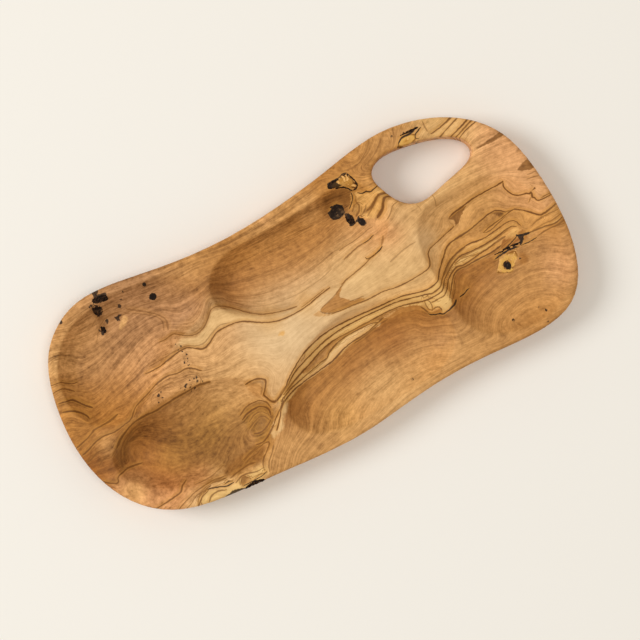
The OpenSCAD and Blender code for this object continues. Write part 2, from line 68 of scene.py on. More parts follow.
# Grain lines on the upper face: ring number, darkness, width, points in millimetres from the middle
GRAIN_LINES = [
    # under the top well and on into the left well
    (0, 0.95, 1.3, [
        (-130, 13.3), (-118, 13.3), (-112, 14.5), (-105, 16), (-98, 17.3), (-92, 17), (-87, 14),
        (-83, 11.5), (-78, 12), (-72, 15.5), (-67, 18), (-60, 18.4), (-54, 18.2), (-48, 17),
        (-43, 14.5), (-38, 11.5), (-33, 8.8), (-28, 6.8), (-22, 5.4), (-14, 4.9), (-6, 5.2), (2, 6.4),
        (8, 7.8), (14, 9.4), (22, 11)]),
    (0, 0.8, 1.1, [
        (30, 9), (36, 11), (42, 12.3), (48, 13.8), (54, 15.5), (58, 17.3), (64, 18.7), (69, 20.5)]),
    (-0.5, 0.5, 1.0, [
        (-125, 17), (-112, 17.8), (-100, 18.8), (-92, 18.4), (-86, 15.6), (-80, 14.8), (-74, 17.4),
        (-68, 20.2), (-63, 21.5), (-56, 20)]),
    (-2, 0.75, 1.2, [
        (-110, 30), (-104, 29.8), (-98, 31), (-93, 28), (-88, 24.7), (-82, 23.2), (-76, 24.5),
        (-71, 28), (-67, 32), (-64, 34.6), (-60, 35.2), (-56, 33.5), (-52, 30.8), (-47, 26.5),
        (-42, 22), (-36, 17.5), (-30, 14.3), (-22, 11.8), (-14, 10), (-6, 9)]),
    (-3, 0.45, 1.0, [(-73, 30.5), (-69, 35.5), (-65.5, 40), (-62, 42.3), (-58, 41), (-54, 38.5)]),
    # between the two left wells
    (3, 0.8, 1.6, [
        (-199, -14), (-192, -12), (-186, -10), (-181, -7.6), (-175, -7), (-168, -6.5), (-160, -4.5)]),
    (4, 0.85, 1.4, [
        (-197, -20.5), (-190, -18.5), (-184, -16), (-176, -14.6), (-168, -15.3), (-160, -14),
        (-153, -12.3), (-149.5, -9), (-146, -5.5), (-140, -3), (-132, 0), (-126, 2.5), (-120, 4),
        (-114, 4.7), (-107, 3.3), (-100, 3.6), (-95, 1.3), (-90, -3)]),
    (5, 0.4, 1.0, [(-140, -4.5), (-130, -1.2), (-120, -0.8), (-112, -1.5)]),
    (6, 0.85, 1.8, [
        (-172, -27), (-166, -22), (-158, -17.5), (-150, -15), (-142, -14.3), (-134, -14.6),
        (-126, -13.5), (-116, -12.6), (-106, -12), (-98, -11.3), (-88, -13)]),
    # left rim
    (-6, 0.85, 1.3, [(-198, 36.5), (-192, 35.5), (-188, 35.2), (-185, 33), (-181, 30.5), (-177, 30)]),
    (-4, 0.8, 1.2, [(-197, 30), (-190, 30.5), (-186, 28.5), (-182, 24.5)]),
    (-2, 1.0, 1.7, [(-196, 21.5), (-190, 20.5), (-186, 19.7), (-183, 16.5), (-179, 11.5), (-175, 8)]),
    (0, 0.95, 1.5, [
        (-196, 14.5), (-192, 13.3), (-188, 11.5), (-184.5, 8.5), (-181.5, 4.8), (-180.3, 1.5)]),
    # the thin line from the spine to the right end, with its spike and its hook
    (5, 0.95, 1.0, [
        (14, -7.3), (22, -8), (30, -8.2), (36, -8.7), (42, -9.4), (48, -9.2), (56, -9), (62, -10),
        (70, -10.6), (80, -10.3), (88, -9.4), (93, -8.3), (95.7, -6.3), (96.8, -3), (97.7, 0.8),
        (100, 3.8), (104, 5.3), (110, 7), (116, 9), (121, 10.3), (125, 11.5)]),
    (5, 1.0, 1.3, [
        (124, 18.8), (128, 20.4), (133, 21.3), (138, 22.1), (145, 23.6), (152, 24.2), (160, 24.5),
        (167, 24.8), (171.4, 25.6)]),
    (5, 1.0, 1.2, [
        (171.2, 25.8), (170, 22.5), (170.3, 19.5), (172, 16), (173.5, 13.6), (176, 11.6), (180, 10.3),
        (182.6, 9.8), (184.5, 8.6), (186, 9.2), (186.2, 7.4), (184.8, 5.9), (186.6, 4.3), (187.2, 2.2),
        (189.2, 0.9), (194, 0.9), (199, 1.1)]),
    # the bundle of stripes along the front well and through the right well
    (7, 1.0, 1.3, [
        (-50, -47), (-45, -44.5), (-40, -41), (-36, -37), (-30, -32.5), (-24, -28.5), (-18, -24.8),
        (-12, -22.3), (-5, -20), (2, -18.2), (10, -17.2), (20, -16.7), (30, -16.8), (40, -17.2),
        (50, -17.6), (60, -17.7), (68, -18.4), (74, -19.8), (80, -21.2), (86, -22), (91, -21.2),
        (95, -20), (96.8, -18), (100, -13.5), (104, -9), (108, -5), (112, -0.8), (116, 1.3), (121, 2.4),
        (128, 3), (134, 4), (140, 5.5), (147, 7.3), (152, 8.4), (156, 8.6), (159, 7.8), (161.5, 6),
        (163.5, 4.3), (167, 3.6), (170, 3.2), (173, 1.5), (178, -2.5), (182, -6.5), (185, -8.9),
        (188, -9), (193, -8), (199, -6.3)]),
    (8, 1.0, 1.2, [
        (-42, -43.5), (-38, -40.5), (-33, -36.5), (-27, -33), (-20, -30.2), (-14, -28), (-8, -25.8),
        (0, -23.3), (8, -21.5), (16, -20.3), (26, -19.8), (36, -19.6), (46, -19.8), (56, -20),
        (64, -20.8), (72, -22.5), (78, -23.7), (84, -25), (88, -26.1), (93, -25.2), (96, -23.8),
        (98.5, -20.5), (102, -17), (107, -12.5), (112, -9.5), (118, -7.3), (124, -5.8), (130, -5.2),
        (136, -6), (142, -6.2), (150, -5), (156, -3.9), (161, -3.1), (165, -3.6), (167.5, -5.5),
        (168.2, -8), (169.5, -10)]),
    (9, 0.95, 1.3, [
        (-44, -45.5), (-34, -40.5), (-26, -37), (-18, -34), (-10, -30.5), (-4, -28), (3, -26.3),
        (10, -25.3), (20, -25), (30, -24.6), (40, -24.2), (50, -23.8), (58, -24), (66, -25), (74, -27),
        (80, -28.5), (88, -28.8), (95, -27.6), (98, -24.5), (101, -20.7), (105, -17.5), (110, -14),
        (115, -11.6), (120, -10.4), (128, -10.7), (136, -10.8), (145, -10.2), (152, -9), (158, -7.6),
        (163, -7.4), (166.5, -9)]),
    (10, 0.9, 1.2, [
        (-48, -49.5), (-38, -44.2), (-30, -41.7), (-22, -39.6), (-14, -37.6), (-8, -36), (-3, -35),
        (0, -32.5), (4, -30.3), (10, -28), (16, -26.9), (24, -26.5), (32, -26.3), (38, -26.6),
        (43, -28.2)]),
    (10, 0, 1.2, [(44, -27), (52, -26.2), (60, -25.9), (70, -28.5), (78, -31)]),
    (10, 0.9, 1.2, [
        (84, -32), (90, -31.8), (95, -31.4), (99, -28), (103, -22.5), (108, -18.8), (113, -16.6),
        (118, -17.4), (124, -16.7), (132, -15.4), (140, -14.4), (147, -13)]),
    (11, 1.0, 1.5, [
        (-60, -67), (-54, -60), (-48, -52), (-38, -46.6), (-28, -43.8), (-18, -42), (-8, -40.3),
        (0, -38.8), (6, -36.5), (12, -34.2), (18, -32.7), (26, -31.9), (32, -31), (38, -29.4),
        (44, -27.6), (48, -26.6)]),
    (11, 0, 1.5, [
        (50, -28.1), (56, -28.8), (64, -28.9), (72, -30.5), (77, -34), (82, -37.3), (88, -37),
        (95, -36.3)]),
    (11, 1.0, 1.5, [
        (99.5, -33), (104, -26.5), (108, -21.5), (113, -18.8), (119, -19), (127, -18.5), (135, -18.3),
        (143, -18), (150, -16.5)]),
    # right rim
    (8.5, 0, 1.0, [(174, -14.5), (180, -12), (186, -11), (192, -10.5), (199, -9.6)]),
    (10.5, 0, 1.0, [(172, -16.5), (180, -15.5), (188, -15), (194, -14.4), (199, -13.5)]),
    (12, 0.85, 1.3, [(168, -17.3), (176, -17.5), (184, -18), (190, -19.2), (194, -18.8), (199, -17.2)]),
    (13, 0.5, 1.0, [(176, -22.7), (182, -21.2), (190, -21.4), (198, -22.5)]),
    # loops at the right end of the front left well
    (7, 0.95, 1.8, [
        (-66, -26.3), (-60, -25.7), (-55, -26.5), (-51, -29.5), (-52.5, -33), (-55, -36.5), (-57, -39),
        (-55.8, -42), (-54.5, -45), (-52, -47), (-48, -45.6), (-44, -43), (-40, -40.5)]),
    (9, 0.95, 1.8, [
        (-80, -49), (-75, -46.5), (-70, -45.5), (-65, -45.3), (-61, -47), (-58.5, -50.5), (-59, -55)]),
    (10, 0.7, 1.2, [(-76, -52.5), (-70, -49.5), (-64.5, -49.5), (-61, -53)]),
    (11, 0.6, 1.2, [(-79, -57.5), (-73, -54.5), (-67, -52.6), (-63.5, -54), (-61.5, -58)]),
    # front left corner
    (8, 0.5, 1.5, [(-150, -26), (-158, -25), (-165, -28), (-169, -33), (-170, -39)]),
    (9, 0.85, 1.3, [
        (-194, -43), (-190, -46), (-186, -48.6), (-181.8, -50.3), (-180, -46.3), (-176, -45),
        (-172, -43.6), (-167, -44), (-160, -45)]),
    (9.8, 0.85, 1.3, [
        (-168, -80), (-158, -79), (-150, -78), (-143, -76.5), (-140.5, -73), (-136, -70.5)]),
    (10, 0.6, 1.0, [(-132, -76), (-124, -76.6), (-116, -75.6), (-106, -72.5)]),
    (10.4, 0.75, 1.1, [
        (-150, -87.5), (-146, -85.5), (-140, -83.3), (-134, -81.3), (-126, -80), (-118, -79.4),
        (-110, -80)]),
    (10.7, 0.7, 1.0, [(-146, -90), (-140, -87.5), (-135, -84.5), (-129, -83), (-122, -82.5)]),
    (11, 0.8, 1.3, [(-137, -92.5), (-133, -88.7), (-130, -86.6), (-124, -84.2)]),
    (10.6, 0.75, 1.4, [
        (-92, -77), (-85, -74), (-78, -72.5), (-71, -71.2), (-69, -73), (-74, -78), (-79, -83),
        (-81, -90)]),
    (11, 0.6, 1.3, [(-102, -91.5), (-99, -88), (-97, -86.5), (-94, -88.5), (-92, -91)]),
    # how the heartwood runs on the floor of the front and right wells
    (13, 0, 0.9, [
        (-48, -66), (-38, -60), (-20, -52), (0, -46), (20, -40), (40, -37), (60, -37), (72, -44)]),
    (14.5, 0, 0.8, [(-36, -64), (-18, -56), (4, -49), (26, -44), (48, -42), (66, -43)]),
    (16, 0, 1.0, [(-44, -78), (-25, -68), (0, -59), (25, -53), (50, -50), (80, -54), (98, -54)]),
    (18, 0, 0.8, [(-34, -79), (-12, -69), (10, -62), (36, -57), (62, -57), (84, -60)]),
    (20, 0, 1.0, [(-50, -92), (-25, -82), (0, -73), (30, -67), (60, -64), (95, -66)]),
    (24, 0, 1.0, [(-10, -94), (15, -86), (40, -80), (70, -77), (100, -76), (120, -78)]),
    (27, 0, 1.0, [(40, -90), (80, -86), (120, -84), (160, -85)]),
    (14, 0, 1.0, [(101, -43), (112, -38), (124, -33), (136, -29)]),
    (14, 0, 1.0, [(164, -29), (176, -27), (197, -27)]),
    (18, 0, 1.0, [(102, -57), (114, -51), (130, -46), (147, -43), (166, -42), (194, -45)]),
    (20, 0, 0.8, [(106, -64), (118, -57), (136, -52), (152, -50), (172, -51), (188, -54)]),
    (22, 0, 1.0, [(108, -70), (120, -64), (140, -59), (160, -58), (185, -61)]),
    (25, 0, 1.0, [(120, -77), (140, -73), (160, -73), (178, -74)]),
    # stripes across the right of the handle, and the wavy lines that run into the hand hole
    (-14, 0.95, 1.6, [(138, 80), (146, 81.3), (152, 83), (159, 85.2)]),
    (-13, 0.85, 1.2, [(142, 74.6), (148, 77), (154, 79.5), (162, 82.6)]),
    (-12, 1.0, 1.3, [(149.5, 71.4), (156, 73.6), (163, 76.2), (170, 79)]),
    (-11, 1.0, 1.3, [(153, 69.4), (160, 72.2), (167, 75), (173, 77)]),
    (-10, 0.95, 1.0, [(155, 67.6), (163, 71.3), (175, 74.6)]),
    (-5, 0, 1.0, [(163, 50), (175, 50), (190, 49)]),
    (-2, 0, 1.0, [(104, 36), (122, 39), (145, 41), (170, 40), (190, 38)]),
    (1, 0.15, 1.4, [(104, 26), (118, 31), (140, 33), (165, 34), (178, 31)]),
    (-17, 0.35, 1.4, [(66, 84), (74, 83), (82, 84.5), (88, 88.5), (93, 93), (96, 97)]),
    (-19, 0.35, 1.4, [(84, 80.5), (92, 83.5), (99, 88.5), (104, 93.5)]),
    (-7, 0.85, 2.4, [(89.5, 55.6), (84, 56.6), (80, 54.2), (76, 51.2), (71, 50)]),
    (-5, 0.95, 2.5, [(91, 51.6), (88, 53), (85, 51), (83, 47), (80, 44.6), (76, 42)]),
    (-4, 0.6, 1.0, [(95, 46), (90, 45), (86.5, 41), (82, 37.5)]),
    (-3, 0.7, 1.3, [(40, 25), (46, 26.8), (52, 28.8), (58, 29.5), (64, 30)]),
    (-5, 0.55, 1.1, [(40, 32.5), (47, 33.7), (53, 34.2), (60, 35.7), (66, 37.3), (70, 37.5)]),
    # quiet wood along the back and on the top well's floor
    (-13, 0.2, 1.2, [(-60, 66), (-30, 64), (0, 65), (30, 66)]),
    (-16, 0.25, 1.2, [(-60, 75), (-30, 73), (0, 75), (30, 79), (50, 83)]),
    (-8, 0.25, 1.2, [(-97, 50), (-85, 44), (-70, 46), (-56, 50)]),
    (-11, 0.25, 1.2, [(-130, 60), (-110, 60), (-90, 57), (-70, 58)]),
    (-15, 0.25, 1.2, [(-165, 72), (-140, 76), (-110, 74), (-80, 72)]),
    (-8, 0.2, 1.2, [(-185, 52), (-178, 50), (-170, 44)]),
    (-3.3, 0.3, 1.0, [(-46, 31), (-38, 25), (-25, 19.5), (-5, 17), (15, 19), (30, 23)]),
    (-5.5, 0.25, 1.0, [(-48, 38), (-36, 32), (-20, 28), (0, 27), (20, 30), (36, 34)]),
    (-8.5, 0.25, 1.0, [(-50, 48), (-25, 43), (0, 41), (25, 43), (45, 48)]),
]

# Lines that cross the grain or fork from it: darkness, width at the start and at the end, points
FREE_LINES = [
    # at the hand hole, on the handle and the right rim
    (0.6, 1.2, 1.2, [(136.6, 91.5), (136.6, 87), (136.8, 82.5)]),
    (0.5, 0.9, 0.9, [(119.5, 40), (119.8, 35), (118.5, 30)]),
    (0.4, 0.9, 0.9, [(106, 38), (106.8, 35), (107.2, 32)]),
    (0.5, 1.0, 1.0, [(70, 22), (72.5, 25), (74, 28.5)]),
    (0.6, 1.0, 1.0, [(187, 19), (192, 18.5), (198, 17.5)]),
    (0.5, 1.0, 1.0, [(189, 22), (193, 21.6), (197.5, 21.4)]),
    (0.55, 1.8, 1.4, [(70, 46), (73, 48.2), (75.5, 50)]),
    (0.75, 2.2, 1.6, [(62.5, 50), (66, 52.5), (68, 56.5), (67, 60), (69, 63.5)]),
    (0.7, 1.8, 1.4, [(61, 54), (64, 57), (66.5, 62), (68.5, 66)]),
    (0.6, 1.6, 1.2, [(66, 48.5), (70, 51), (73, 54.5)]),
    (0.6, 1.2, 1.0, [(63, 57.5), (66, 58.2), (69, 58.5), (70.5, 55.5)]),
    (0.55, 1.6, 1.2, [(66, 49), (68, 52), (69.5, 55)]),
    (0.55, 1.2, 1.0, [(69, 21.5), (71.5, 25), (74, 28.5)]),
    # in the right well and on its rim
    (0.95, 1.0, 0.9, [
        (142, -2.4), (144.5, -1.5), (149, -0.4), (155, 0.7), (160, 1.6), (166, 3), (170, 3.3)]),
    (0.9, 0.9, 0.9, [(142, -2.4), (144.5, -3.2), (149, -2.8), (153, -1.5), (158, 0), (163, 1.6)]),
    (0.8, 0.9, 0.9, [(190.5, 2.1), (194, 2.3), (199, 2.5)]),
    (0.8, 0.9, 0.9, [(112, -14.6), (116, -12.9), (120, -12.5), (126, -13.6), (132, -14.6)]),
    (0.7, 1.4, 1.4, [(97.5, -35), (100, -31.5), (101.5, -27), (103, -23.5)]),
    (0.7, 1.2, 1.2, [(99, -37), (103, -33), (106, -28.5), (107, -24)]),
    (0.65, 3.0, 2.2, [(100, -19), (105, -15), (110, -11), (118, -7.5), (126, -5.8)]),
    (0.75, 2.4, 2.2, [(118, -11), (128, -11.2), (140, -11), (150, -9.8), (160, -8)]),
    (0.75, 2.2, 1.8, [(126, -14.2), (134, -15), (142, -14), (150, -12.6), (156, -12)]),
    (0.55, 1.6, 2.4, [
        (102, -11), (108, -5), (112, -0.8), (116, 1.3), (121, 2.4), (134, 4), (147, 7.3)]),
    (0.55, 1.6, 2.2, [(99, -28), (103, -22.5), (108, -18.8), (113, -16.8), (119, -17.6), (132, -15.8)]),
    (0.65, 1.6, 2.4, [(185, -9.5), (190, -9), (199, -7)]),
    (0.6, 1.2, 1.4, [(176, -13.5), (182, -11.5), (188, -11), (199, -11)]),
    (0.6, 1.4, 1.6, [(175, -17), (184, -16), (192, -16.2), (199, -14.8)]),
    (0.55, 1.2, 1.6, [(178, -22), (186, -20.8), (192, -21.2), (199, -20)]),
    (0.9, 0.9, 1.1, [
        (138, -33.2), (140.3, -34.9), (144, -35.4), (146.5, -37.7), (148.6, -37.5), (151, -34.8),
        (153, -33)]),
    (0.6, 0.9, 0.8, [(138, -33), (141.5, -28.5), (144, -25)]),
    # about the spine and the top well
    (0.7, 0.8, 0.8, [(-4, 6.9), (4, 8.4), (10, 9.8), (18, 11.8)]),
    (0.45, 1.6, 1.2, [(70, 8.5), (76, 10), (82, 12), (88, 13), (93.5, 13.4)]),
    (0.6, 1.0, 1.2, [(7.5, -1.2), (9, -3.6), (13, -6), (20, -7.7), (30, -8.5), (43, -9.3)]),
    (0.5, 0.8, 0.9, [(8, -1), (14, 1.4), (22, 4), (29, 7.6), (34, 10)]),
    (0.6, 1.2, 1.0, [(30, -4.8), (36, -5.4), (41.5, -5.8)]),
    # in the bundle of stripes along the front well
    (0.7, 0.9, 0.7, [(-21.5, -28.8), (-18, -27), (-16.2, -25.2)]),
    (0.75, 1.0, 1.0, [(20, -34.2), (28, -32.9), (36, -30.9), (42, -29.6)]),
    (0.85, 1.2, 1.4, [(75.5, -31), (77.5, -34), (78.7, -36.8), (80.5, -38.6)]),
    (0.8, 1.3, 1.0, [
        (82.5, -37.6), (80.4, -35.5), (79.8, -31.5), (80.4, -28.6), (82, -28.4), (83.5, -31.5),
        (83.6, -34.5), (82.5, -37.6)]),
    (0.85, 1.0, 1.3, [(82.5, -37.4), (85.5, -36.4), (88, -37.6), (88.8, -39.6), (88.4, -42)]),
    (0.5, 2.2, 2.2, [
        (-26, -37), (-14, -32.6), (0, -27.6), (8, -26.3), (20, -25.6), (40, -24.9), (60, -24.8)]),
    (0.55, 1.6, 2.0, [
        (-20, -40), (-8, -37.2), (-3, -35), (0, -31.8), (5, -30.3), (10, -29.2), (14, -27.4),
        (20, -26)]),
    (0.5, 1.4, 2.0, [(18, -34.6), (26, -33.4), (34, -31.6), (42, -29.8), (50, -29)]),
    # at the right end of the front left well and on the front rim below it
    (0.45, 1.0, 1.0, [(-62, -64), (-57, -62.5), (-53, -58.5), (-50, -55)]),
    (0.45, 1.0, 1.0, [(-60, -60), (-56, -58), (-52, -54)]),
    (0.45, 2.6, 2.0, [(-62, -27.7), (-57, -28.5), (-54, -30.5), (-56, -34.5), (-59, -38)]),
    (0.85, 1.6, 1.4, [(-79, -70), (-72, -70), (-65, -66), (-58, -60), (-51, -54), (-45, -49)]),
    (0.75, 1.4, 1.2, [(-77, -62), (-71, -63), (-65, -61), (-60, -57.5)]),
    (0.8, 1.4, 1.4, [(-80, -45.5), (-74, -42), (-68, -41), (-62, -41.5), (-57.5, -45), (-56.5, -50)]),
    (0.6, 1.6, 1.4, [(-92, -76), (-86, -73.5), (-80, -72), (-74, -70.5)]),
    (0.5, 1.4, 1.2, [(-94, -80), (-87, -77), (-81, -76), (-76, -74)]),
    (0.7, 1.2, 1.2, [(-133.5, -92.5), (-133, -89), (-130.5, -86.3), (-127, -84), (-125, -83)]),
    (0.6, 1.0, 1.2, [(-128, -82), (-122, -81), (-116, -80.5), (-108, -80)]),
    (0.8, 1.4, 1.2, [
        (-136, -91), (-134, -87), (-130, -84.5), (-124, -82.5), (-116, -81.5), (-108, -82)]),
    (0.75, 1.4, 1.2, [(-128, -92.5), (-124, -89), (-118, -88), (-112, -90)]),
    (0.75, 1.4, 1.2, [(-104, -88.5), (-98, -85.6), (-92, -86), (-86, -87.5), (-80, -87)]),
    (0.7, 1.4, 1.2, [(-91, -92), (-86, -90.5), (-79, -91.5)]),
    (0.7, 1.6, 1.4, [(-106, -83.5), (-98, -81.5), (-90, -80.5), (-84, -81)]),
    (0.55, 1.0, 1.0, [(-102, -90.5), (-100, -87), (-96, -85.7), (-92.8, -88), (-93, -92)]),
    (0.6, 1.4, 1.4, [(-78, -92), (-76.5, -88), (-74, -84), (-70, -80), (-66, -75)]),
    # in the left well, on the left rim and above the front left well
    (0.45, 1.2, 1.2, [(-189, -33), (-184, -30), (-178, -31), (-174, -28)]),
    (0.5, 1.1, 1.1, [(-198, -27), (-192, -26), (-186, -23.5), (-180, -23)]),
    (0.45, 1.0, 1.0, [(-152, 50), (-147, 57), (-141, 62), (-134, 64), (-126, 63), (-120, 58)]),
    (0.4, 1.0, 1.0, [(-150, 62), (-142, 67), (-132, 69), (-122, 66)]),
    (0.55, 2.0, 1.6, [(-121, 63), (-113, 57.5), (-106, 52.5), (-101, 48), (-98, 42), (-100, 35)]),
    (0.45, 1.2, 1.2, [(-119, 58.5), (-110, 53), (-104, 48.5), (-101, 43), (-103, 36)]),
    (0.5, 1.8, 1.6, [
        (-174, -42), (-172.5, -35), (-168, -27.5), (-161, -22.5), (-153, -19), (-146, -17.5)]),
    (0.45, 1.4, 1.2, [(-169, -31), (-163, -25.5), (-156, -21.8), (-150, -20.3)]),
    (0.4, 0.9, 0.9, [
        (-134, -8), (-132, -4.5), (-126, -2.5), (-116, -0.7), (-106, -0.6), (-98, -2), (-93.5, -5.5),
        (-94, -9.5), (-98, -11.5)]),
]

# Thin black lines of bark: width at the start and at the end, points
BLACK_LINES = [
    (1.3, 1.9, [
        (78.6, -38.3), (80.5, -40.2), (83, -41.3), (86.5, -42), (88, -43.3), (92, -43), (97, -41.5),
        (100, -40), (101.8, -38)]),
    (1.3, 1.3, [(105, -37.6), (109, -36.8), (112, -35.5), (114.6, -34.8)]),
    (1.0, 1.8, [(62, 18.3), (66, 19.3), (70, 21.3)]),
    (0.9, 1.3, [(55, 19.6), (55.7, 17.8), (59, 17.7), (63, 18.3)]),
    (1.0, 1.2, [(58, 29.5), (64, 30.3), (68, 32)]),
    (1.4, 1.1, [(-126, -83.6), (-122, -83.8), (-116, -85.6), (-110, -87.6), (-105, -87)]),
    (1.0, 1.0, [(-100, -93), (-92, -92.5), (-84, -92), (-79, -90.5)]),
    (1.0, 0.9, [(163, -23.3), (170, -23.4), (176, -22.8)]),
    (1.4, 1.2, [(70.6, 65.2), (74, 62.9), (77, 63), (79.5, 61.3), (82, 61.9), (87, 63.2)]),
    (1.5, 1.3, [(67, 68.4), (66.4, 64.5), (65, 61.5), (62, 58.5), (60, 57)]),
    (1.0, 1.3, [(140.5, -24.3), (146, -22), (150, -20.6), (156, -18.6), (160, -17), (164, -15.3)]),
    (2.6, 1.0, [(163, -15.2), (166, -16), (169, -17), (174, -17.2)]),
    (1.0, 1.7, [(140.5, -24.2), (146, -23), (151, -22.4), (157, -22.3), (161, -23.2)]),
    (1.8, 1.4, [(168, -17), (165.5, -19.5), (163, -22.6)]),
    (2.2, 1.6, [(46, 59.5), (49, 62.5), (53, 63.8), (56, 61)]),
    (3.2, 2.8, [(57.5, 54), (58, 50), (57, 46)]),
    (2.2, 1.8, [(55.5, 45.5), (59, 45.2)]),
    (2.8, 3.2, [(63, 47.5), (65.5, 44)]),
    (1.4, 1.1, [(52.5, 77), (54, 79.7), (58, 80.6), (63, 80.8), (67, 82), (70, 81.3)]),
    (2.6, 1.4, [(53, 77.8), (57, 76.6), (61, 75.8)]),
    (1.1, 1.1, [(61, 75.8), (64, 73), (67, 69.5), (68, 67.8)]),
    (1.1, 1.2, [(70, 81), (71.5, 77), (73, 72.5), (73, 69.8), (71, 68.2), (68, 67.8)]),
    (1.8, 1.2, [(117, 86.8), (122, 87), (126, 87.4), (129.5, 89)]),
    (1.1, 0.9, [(-112, -85.5), (-108, -85), (-105, -86)]),
    (1.0, 0.9, [(-136, 83), (-135.5, 80.5), (-133, 79.5)]),
    (1.1, 1.5, [(110.8, 80.6), (113.6, 83.2), (115.3, 85.6), (119, 87.2), (124, 86.9), (130, 88.6)]),
    (1.2, 0.9, [(134, 87.8), (130, 86), (127.2, 84.3), (126.9, 82.2), (128.8, 80.8)]),
]

